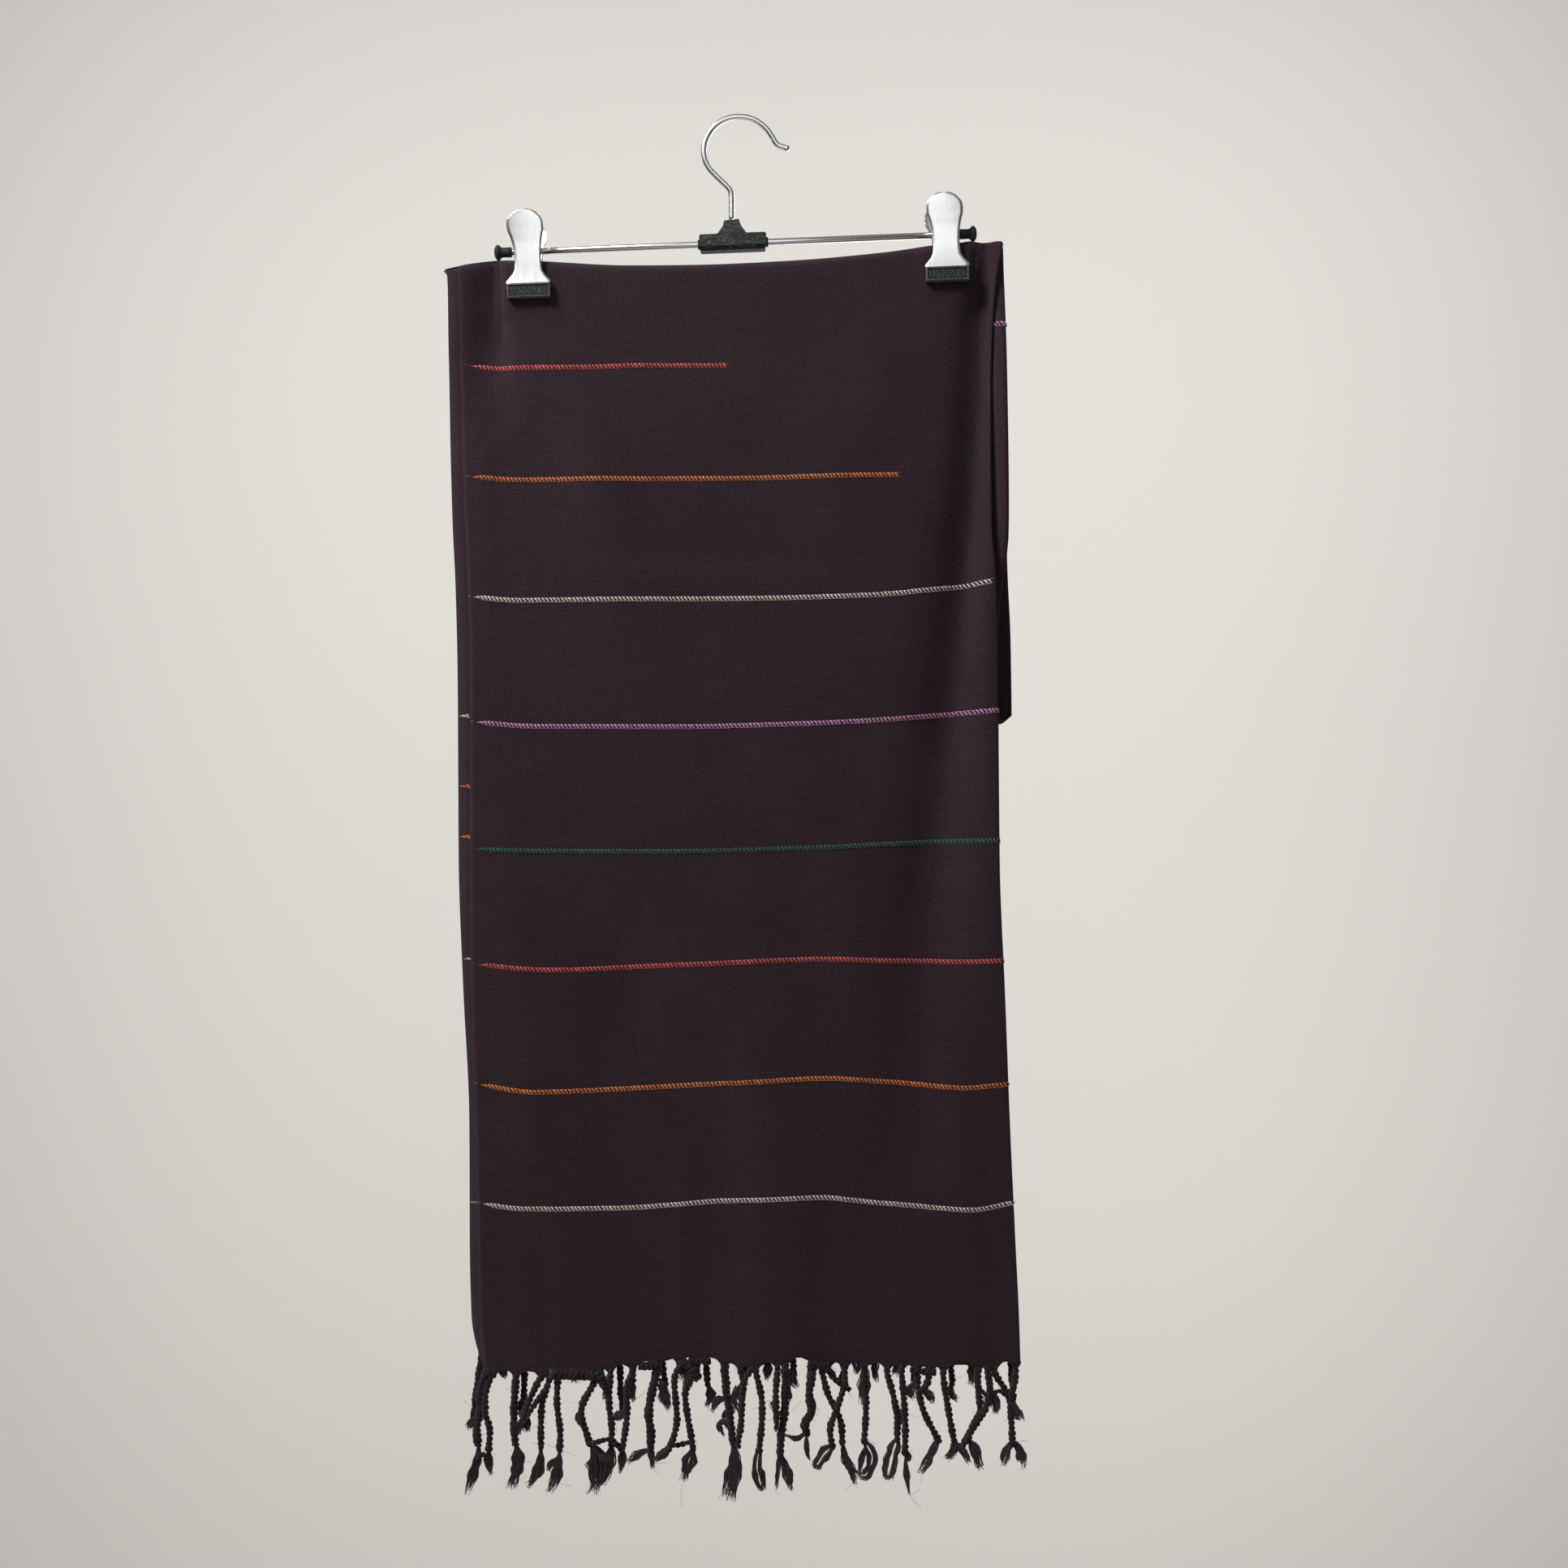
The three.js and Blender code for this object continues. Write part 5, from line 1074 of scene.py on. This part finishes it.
under_cords, under_tufts = Parts(), Parts()
for index, cord in enumerate(UNDER_CORDS):
    root, tip, end, curl = cord["root"], cord["tip"], cord["end"], cord["curl"]
    hang = (under_hem_z, UNDER_CORD_Y, -(0.6 + index % 2))
    top, tuft_z = float(under_hem_z(root)) - HEM_BITE, end + 13
    heights = [top, lerp(top, tuft_z, 0.3), lerp(top, tuft_z, 0.68), tuft_z]
    upper, lower = (lerp(root, tip, share) + rng.normal(0, 0.7) for share in (0.2, 0.6))
    foot = lerp(root, tip, 0.9)
    way = cord_points(list(zip([root, upper, lower, foot], heights)), *hang)
    add_knot(under_cords, way[0] + ROOT_KNOT, 1.15)
    add_cord(under_cords, way, 1.0)
    add_knot(under_cords, way[-1], 1.25)
    tuft = [(foot, tuft_z + 1), (lerp(foot, tip, 0.5) - curl * 0.3, end + 6), (tip + curl * 0.5, end)]
    places = cord_points(tuft, *hang)
    add_tuft(under_tufts, "brush" if index % 3 else "leaf", places, 4.4 + index % 3)
    strays += list(through(places, 3))


def rolled_hem(parts, edges, bottom, radius, bulge, roots):
    """The rolled edge that closes a hem, as a thin yarn along both thicknesses."""
    position = positions(240, 5, 160)
    x, depth = across_at(edges, bottom, bulge, position=position)
    route = on_front(x, depth, bottom(x) + hem_scallop(x, roots), radius)
    thick = 0.62 + 0.08 * np.sin(position * 190) + 0.05 * np.sin(position * 47)
    add_tube(parts, route, thick, 6, reference=(0, 0, 1))


rolled_hem(front_cords, front_edges, hem_z, outer_radius, FOLD_BULGE["front"], front_roots)
rolled_hem(under_cords, under_edges, under_hem_z, inner_radius, 0.0, under_roots)
add_stray_hairs(front_tufts, strays)

fringe = [
    piece(f"fringe_{end}_{kind}", parts, material, (f"fringe_{end}",))
    for end, kind, parts, material in (
        ("front", "cords", front_cords, yarn), ("front", "tufts", front_tufts, tuft_yarn),
        ("under", "cords", under_cords, yarn), ("under", "tufts", under_tufts, tuft_yarn),
    )
]

# ---- Hanger ----
TILT = math.radians(2.3)
HOOK = {"wire": 1.65, "stem_x": -5.2, "knob": 1.95}
# The hook's wire, from its point over the crown and down to the stem.
HOOK_WAY = table(
    "x z",
    (27.4, -17.0), (24.8, -16.1), (22.4, -15.3), (20.4, -13.2), (18.4, -9.6), (15.8, -6.0), (12.9, -3.2),
    (9.3, -0.7), (5.2, 0.9), (1.1, 1.55), (-2.6, 1.6), (-6.2, 1.05), (-10.0, -0.3), (-13.6, -2.5),
    (-16.8, -5.6), (-19.3, -9.5), (-20.9, -13.6), (-21.5, -17.8), (-21.3, -21.8), (-20.1, -25.8),
    (-17.8, -29.5), (-14.7, -32.8), (-11.1, -36.3), (-7.8, -39.4), (-6.0, -41.8), (-5.3, -44.6),
    (-5.2, -48), (-5.2, -58.5),
)
BOSS = {"width": 39.4, "depth": 10.6, "height": 9.3, "bevel": 2.4}
NECK = {"base": 17.0, "top": 8.6, "height": 8.7, "depth_base": 10.4, "depth_top": 7.0}
CAP = {"length": 10.0, "past_bar": 2.7}
SPRING = {"turns": 6, "radius": 3.05, "wire": 0.55, "length": 7.4}


def turned_about_y(points, angle, origin):
    x, y, z = np.reshape(points, (-1, 3)).T
    cos, sin = math.cos(angle), math.sin(angle)
    return np.stack([cos * x - sin * z, y, sin * x + cos * z], -1) + origin


def tilted(points):
    """From the hanger's own frame, which leans with the bar, to the row's frame."""
    return turned_about_y(points, TILT, (BAR["x"], 0, BAR["z"]))


def make_hook():
    """The wire, with a knob at its point."""
    route = through([(p["x"], 0, p["z"]) for p in HOOK_WAY], 0.9)
    ahead = route[0] - route[4]
    lean = math.atan2(ahead[2], ahead[0])
    parts = Parts()
    add_tube(parts, route, HOOK["wire"], 24, reference=(0, 1, 0))
    angle = np.linspace(0, math.pi, 14)
    ball = HOOK["knob"] * np.stack([0.86 * np.cos(angle), np.maximum(np.sin(angle), 0.02)], -1)
    add_turned(parts, ball, 24, lambda p: turned_about_y(p, lean, route[0]))
    piece("hook_wire", parts, chrome, ("hook",))


def make_bar():
    parts = Parts()
    half, radius, bevel = BAR["length"] / 2, BAR["radius"], BAR["bevel"]
    slope = [(half - bevel, radius), (half, radius - bevel)]
    profile = [(-x, r) for x, r in slope[::-1]] + slope
    add_turned(parts, profile, 32, lambda p: tilted(p + (BAR["shift"], 0, 0)))
    piece("bar_rod", parts, chrome, ("bar",))


def make_boss():
    """A block with a bevelled foot, a neck with a slanted top, and rims for rod and stem."""
    w, d, h = BOSS["width"] / 2, BOSS["depth"] / 2, BOSS["height"] / 2
    base, base_d, top, top_d = (NECK[key] / 2 for key in ("base", "depth_base", "top", "depth_top"))
    foot, waist, neck_top = BOSS["bevel"] - h, h + NECK["height"] / 2, h + NECK["height"]
    neck_x = HOOK["stem_x"] - BAR["x"] + math.sin(TILT) * neck_top
    # Reach to the left and right of x, half the depth, and the height at the left and right.
    levels = [
        (0, w - 0.8, w - 0.8, d - 1.9, -h, -h), (0, w, w, d, foot, foot),
        (0, w, w, d, h - 0.9, h - 0.9), (0, w - 0.9, w - 0.9, d - 0.5, h, h),
        (neck_x, base, base, base_d - 0.3, h + 0.02, h + 0.02),
        (neck_x, base * 0.62, base * 0.66, base_d - 0.9, waist, waist),
        (neck_x, top, top, top_d, neck_top - 0.7, neck_top),
    ]
    block = Parts()
    block.add(
        tilted([
            [(x - left, -y, low), (x + right, -y, high), (x + right, y, high), (x - left, y, low)]
            for x, left, right, y, low, high in levels
        ]),
        grid_faces(len(levels), 4, wrap=True), np.fliplr(end_faces(0, 4)), end_faces(4 * len(levels) - 4, 4),
    )
    round_edges(piece("boss_block", block, plastic, ("boss",)), 0.45, 3, 20)
    rims = Parts()
    for side in (-1, 1):
        ring = [
            (side * (w - 0.1 + out), BAR["radius"] + rise)
            for out, rise in ((0, 0.1), (0, 1.0), (1.1, 0.85), (1.1, 0.1))
        ]
        add_turned(rims, ring, 28, tilted, closed=True)

    def upright(p):
        return tilted(np.stack([p[:, 1] + neck_x, p[:, 2], p[:, 0] + neck_top - 0.5], -1))

    add_turned(rims, [(0, 1.62), (0, 2.5), (0.7, 2.3), (0.7, 1.62)], 24, upright, closed=True)
    piece("boss_rims", rims, plastic, ("boss",))


def make_cap(name, outward):
    """A rubber cap with a flared lip near its outer end."""
    profile = [
        (0, 2.05), (0, 2.7), (0.4, 2.95), (4.2, 2.8), (5.4, 2.85), (6.3, 3.3), (6.9, 4.1), (7.4, 4.45),
        (8.2, 4.5), (8.8, 4.3), (9.2, 3.7), (9.7, 3.0), (10.0, 2.0), (10.0, 0.05),
    ]
    start = BAR["length"] / 2 + CAP["past_bar"] - CAP["length"]
    parts = Parts()
    add_turned(
        parts, profile[::outward], 36,
        lambda p: tilted((p + (start, 0, 0)) * (outward, 1, 1) + (BAR["shift"], 0, 0)))
    piece(f"cap_{name}_rubber", parts, rubber, (f"cap_{name}",))


# Half a lever's width at each height above the bar, and how far its sheet stands forward.
LEVER_OUTLINE = table(
    "z half",
    (20.6, 1.4), (20.2, 3.9), (19.1, 6.4), (17.6, 8.1), (15.8, 9.7), (13.2, 10.35), (10, 10.2), (6.2, 9.0),
    (-0.9, 7.6), (-7, 7.3), (-13.1, 7.7), (-16.8, 9.6), (-19.3, 11.8), (-20.4, 12.6), (-21.4, 12.6),
)
LEVER_BOW = table(
    "z y",
    (-21.4, 9.4), (-17, 8.8), (-9, 8.3), (0, 8.6), (8, 10.0), (15, 11.5), (21, 12.7),
)
REAR_WAIST = 1.3  # how much narrower the rear half is at its waist, where it fits inside the front half
LEVER_SHEET = 0.9
CHEEK = {"front": 6.3, "rear": 5.1, "eye": 3.9, "hole": 2.35, "back": -8.0, "flare": 1.6, "sheet": 0.9}
lever_half = curve(LEVER_OUTLINE, "z", "half")
lever_y = curve(LEVER_BOW, "z", "y")


def clip_place(clip, side):
    """Puts a half clip's points in the row's frame; the rear half is turned about the upright."""
    turn = 1 if side == "front" else -1

    def put(points):
        x, y, z = np.reshape(points, (-1, 3)).T
        lean = clip["lean"] * np.maximum(z, 0)
        return tilted(np.stack([turn * x + clip["x"] - lean, turn * y, z], -1))

    return put


def make_lever(clip, side, name):
    """The lever's plate: a bowed sheet with a slight crown and curled edges."""
    z = lerp(LEVER_OUTLINE[0]["z"], LEVER_OUTLINE[-1]["z"], two_spacings(0.12, 8, 40))[:, None]
    s = np.linspace(-1, 1, 41)
    waist = smoothstep(z, -19, -12) * (1 - 0.6 * smoothstep(z, 2, 10))
    x = (lever_half(z) - REAR_WAIST * waist * (side == "rear")) * s
    crown = 0.35 * s**2 * smoothstep(z, -6, 14)
    curl = 0.42 * smoothstep(np.abs(s), 0.9, 1.0)
    y = crown + curl - lever_y(z)
    parts = Parts()
    parts.add(clip_place(clip, side)(np.stack(np.broadcast_arrays(x, y, z), -1)), grid_faces(*x.shape))
    made = piece(f"{name}_plate", parts, satin, (f"{name}_lever",))
    shell = made.modifiers.new("sheet", "SOLIDIFY")
    shell.thickness, shell.offset = LEVER_SHEET * MM, -1
    round_edges(made, 0.24, 2, 50)


def make_cheeks(clip, side, name):
    """The cheeks that bend back from the plate's sides and hold the rod."""
    eye, back, foot = CHEEK["eye"], CHEEK["back"], CHEEK["eye"] + CHEEK["flare"]
    angle = np.linspace(-math.pi / 2, math.pi / 2, 15)
    front = np.stack([0 * angle, eye * np.cos(angle), eye * np.sin(angle)], -1)
    outline = through([(0, back, -foot), *front, (0, back, foot)], 0.7)
    outline = outline[np.linspace(0, len(outline) - 1, 47).astype(int)]
    bearing = np.arctan2(outline[:, 2], outline[:, 1])
    hole = CHEEK["hole"] * np.stack([0 * bearing, np.cos(bearing), np.sin(bearing)], -1)
    parts = Parts()
    for middle in (-CHEEK[side], CHEEK[side]):
        low, high = ((middle + share * CHEEK["sheet"], 0, 0) for share in (-0.5, 0.5))
        lines = [hole + low, outline + low, outline + high, hole + high]
        parts.add(clip_place(clip, side)(lines), grid_faces(4, len(outline)))
    round_edges(piece(f"{name}_cheeks", parts, satin, (f"{name}_lever",)), 0.15, 2, 50)


def make_pad(clip, side, name):
    """A rubber pad with a raised rim; its sunk middle has fine slanting ribs and is darkened with painted
    shade.
    """
    put = clip_place(clip, side)
    columns, lines = 129, 45
    w, h = PAD["width"] / 2, PAD["height"] / 2
    cloth_y = -SEAM / 2 - PACK_RADIUS - SEAM
    front_y, back_y = cloth_y - PAD["thick"], cloth_y + 0.05
    x, z = np.meshgrid(np.linspace(-w, w, columns), np.linspace(-h, h, lines))
    edge = np.minimum(w - np.abs(x), h - np.abs(z))
    sunk = smoothstep(edge, 0.95, 1.45)
    bent = x + (0.75 + 0.25 * np.sin(x * 0.9)) * z + 0.5 * np.sin(x * 0.55 + z)
    ribs = smoothstep(np.sin(bent * 2 * math.pi / PAD["rib_pitch"]), -0.2, 0.6)
    ribs = ribs * smoothstep(edge, 1.5, 2.0)
    rounding = 0.55 * (1 - smoothstep(edge, 0, 0.7))
    y = front_y + 0.75 * sunk - 0.6 * ribs * (0.7 + 0.3 * np.sin(x * 1.7 + 2 * z)) + rounding
    face = np.stack([x, y, z + PAD["top"] - h], -1)
    rim = np.concatenate([face[0], face[1:, -1], face[-1, -2::-1], face[-2:0:-1, 0]])
    depths = (front_y + 0.9, (front_y + back_y) / 2, back_y)
    loops = [rim, *(rim * (1, 0, 1) + (0, depth, 0) for depth in depths)]
    n = len(rim)
    parts = Parts()
    parts.add(put(face), grid_faces(lines, columns))
    parts.add(put(loops), grid_faces(4, n, wrap=True), end_faces(3 * n, n))
    made = piece(f"{name}_pad_rubber", parts, pad_rubber, (f"{name}_pad",))
    # The tone paints shade into the pad's sunk middle, darkest in the grooves between the ribs.
    tone = np.ones(parts.count)
    tone[: x.size] = (1 - sunk * (0.94 - 0.70 * ribs)).ravel()
    made.data.attributes.new("tone", "FLOAT", "POINT").data.foreach_set("value", tone)


def make_spring(clip):
    """A coil on the rod with two short legs that press the levers apart at the top."""
    a = np.linspace(0, SPRING["turns"] * 2 * math.pi, SPRING["turns"] * 22)
    radius, along = SPRING["radius"], (a / a[-1] - 0.5) * SPRING["length"]
    coil = np.stack([along, radius * np.cos(a), radius * np.sin(a)], -1)
    legs = [(-3.9, -4.6, 5.4), (-3.8, -3.6, 2.4)], [(3.8, 3.6, 2.4), (3.9, 4.6, 5.4)]
    route = clip_place(clip, "front")(np.vstack([legs[0], coil, legs[1]]))
    parts = Parts()
    add_tube(parts, route, SPRING["wire"], 10, reference=(0.99, 0.05, 0.1))
    name = f"clip_{clip['name']}_spring"
    piece(f"{name}_coil", parts, spring_steel, (name,))


make_hook()
make_bar()
make_boss()
make_cap("left", -1)
make_cap("right", 1)
for clip in CLIPS:
    for side in ("front", "rear"):
        for make in (make_lever, make_cheeks, make_pad):
            make(clip, side, f"clip_{clip['name']}_{side}")
    make_spring(clip)


# ---- Stage ----
STUDIO = {"half_width": 4.5, "near": -3.2, "far": 1.6, "floor": -2.1, "radius": 0.45, "top": 2.4}
AIR = {"below": (0.10, 0.105, 0.12), "above": (0.95, 0.93, 0.89), "strength": 0.20}
# The last four fall on the back only.
LIGHTS = table(
    "name place target size power colour",
    ("key", (-0.92, -0.82, 0.90), (0, 0, -0.2), 0.55, 36, (1.0, 0.985, 0.955)),
    ("front", (0.0, -2.2, -0.05), (0, 0, -0.1), 1.5, 6.0, (0.97, 0.985, 1.0)),
    ("front_high", (0.03, -1.6, 0.75), (0.03, 0, -0.08), 0.9, 1.7, (0.97, 0.985, 1.0)),
    ("behind", (0.45, 1.35, 0.1), (0.45, 0, 0.1), 0.9, 12, (1.0, 0.99, 0.97)),
    ("wall_left", (-0.80, 0.35, 0.45), (-0.80, 1.6, 0.45), 0.9, 3.5, (1.0, 0.985, 0.96)),
    ("wall_right", (0.80, 0.35, 0.45), (0.80, 1.6, 0.45), 0.9, 6.0, (1.0, 0.985, 0.96)),
    ("wall_low_left", (-0.70, 0.35, -1.0), (-0.70, 1.6, -1.0), 0.8, 2.8, (1.0, 0.985, 0.96)),
    ("wall_low_right", (0.75, 0.35, -1.0), (0.75, 1.6, -1.0), 0.8, 4.4, (1.0, 0.985, 0.96)),
)
VIEW = {"distance": 1.0434, "half_width": 0.460, "reach": 1.04, "x": 0.0257, "z": -0.3911}


def make_studio():
    """A pale floor that curves up into a pale back."""
    radius, floor, far = STUDIO["radius"], STUDIO["floor"], STUDIO["far"]
    bend = [
        (far - radius + radius * math.sin(a), floor + radius - radius * math.cos(a))
        for a in np.linspace(0, math.pi / 2, 20)
    ]
    line = [(STUDIO["near"], floor), *bend, (far, STUDIO["top"])]
    points = [(x, y, z) for y, z in line for x in (-STUDIO["half_width"], STUDIO["half_width"])]
    mesh = bpy.data.meshes.new("studio")
    mesh.from_pydata(points, [], grid_faces(len(line), 2).tolist())
    mesh.polygons.foreach_set("use_smooth", [True] * len(mesh.polygons))
    material, paint = painted("studio_paint")
    paint.shade({"Base Color": (0.80, 0.785, 0.76), "Roughness": 0.95})
    mesh.materials.append(material)
    shown("studio", mesh)


def make_air():
    """Dim air all round, darker below."""
    world = bpy.data.worlds.new("studio_air")
    paint = Paint(world)
    upward = paint.node("SeparateXYZ", {"Vector": paint.place("Generated")}).outputs["Z"]
    colour = paint.tinted(paint.spread(upward, 0, 1, -0.5, 0.9), AIR["below"], AIR["above"])
    paint.put(paint.tree.nodes["Background"], {"Color": colour, "Strength": AIR["strength"]})
    bpy.context.scene.world = world


def make_light(name, place, target, size, power, colour):
    light = bpy.data.lights.new(name, "AREA")
    light.shape, light.size, light.energy, light.color = "DISK", size, power, colour
    made = shown(name, light)
    made.location = place
    made.rotation_euler = (Vector(target) - Vector(place)).to_track_quat("-Z", "Y").to_euler()
    made.visible_camera = False


make_studio()
make_air()
for light in LIGHTS:
    make_light(**light)

camera = bpy.data.cameras.new("camera")
camera.sensor_width = 36.0
camera.lens = camera.sensor_width / 2 * VIEW["reach"] / VIEW["half_width"]
eye = shown("camera", camera)
eye.location = (VIEW["x"], -VIEW["distance"], VIEW["z"])
eye.rotation_euler = (math.pi / 2, 0, 0)
bpy.context.scene.camera = eye
bpy.context.scene.view_settings.view_transform = "Standard"
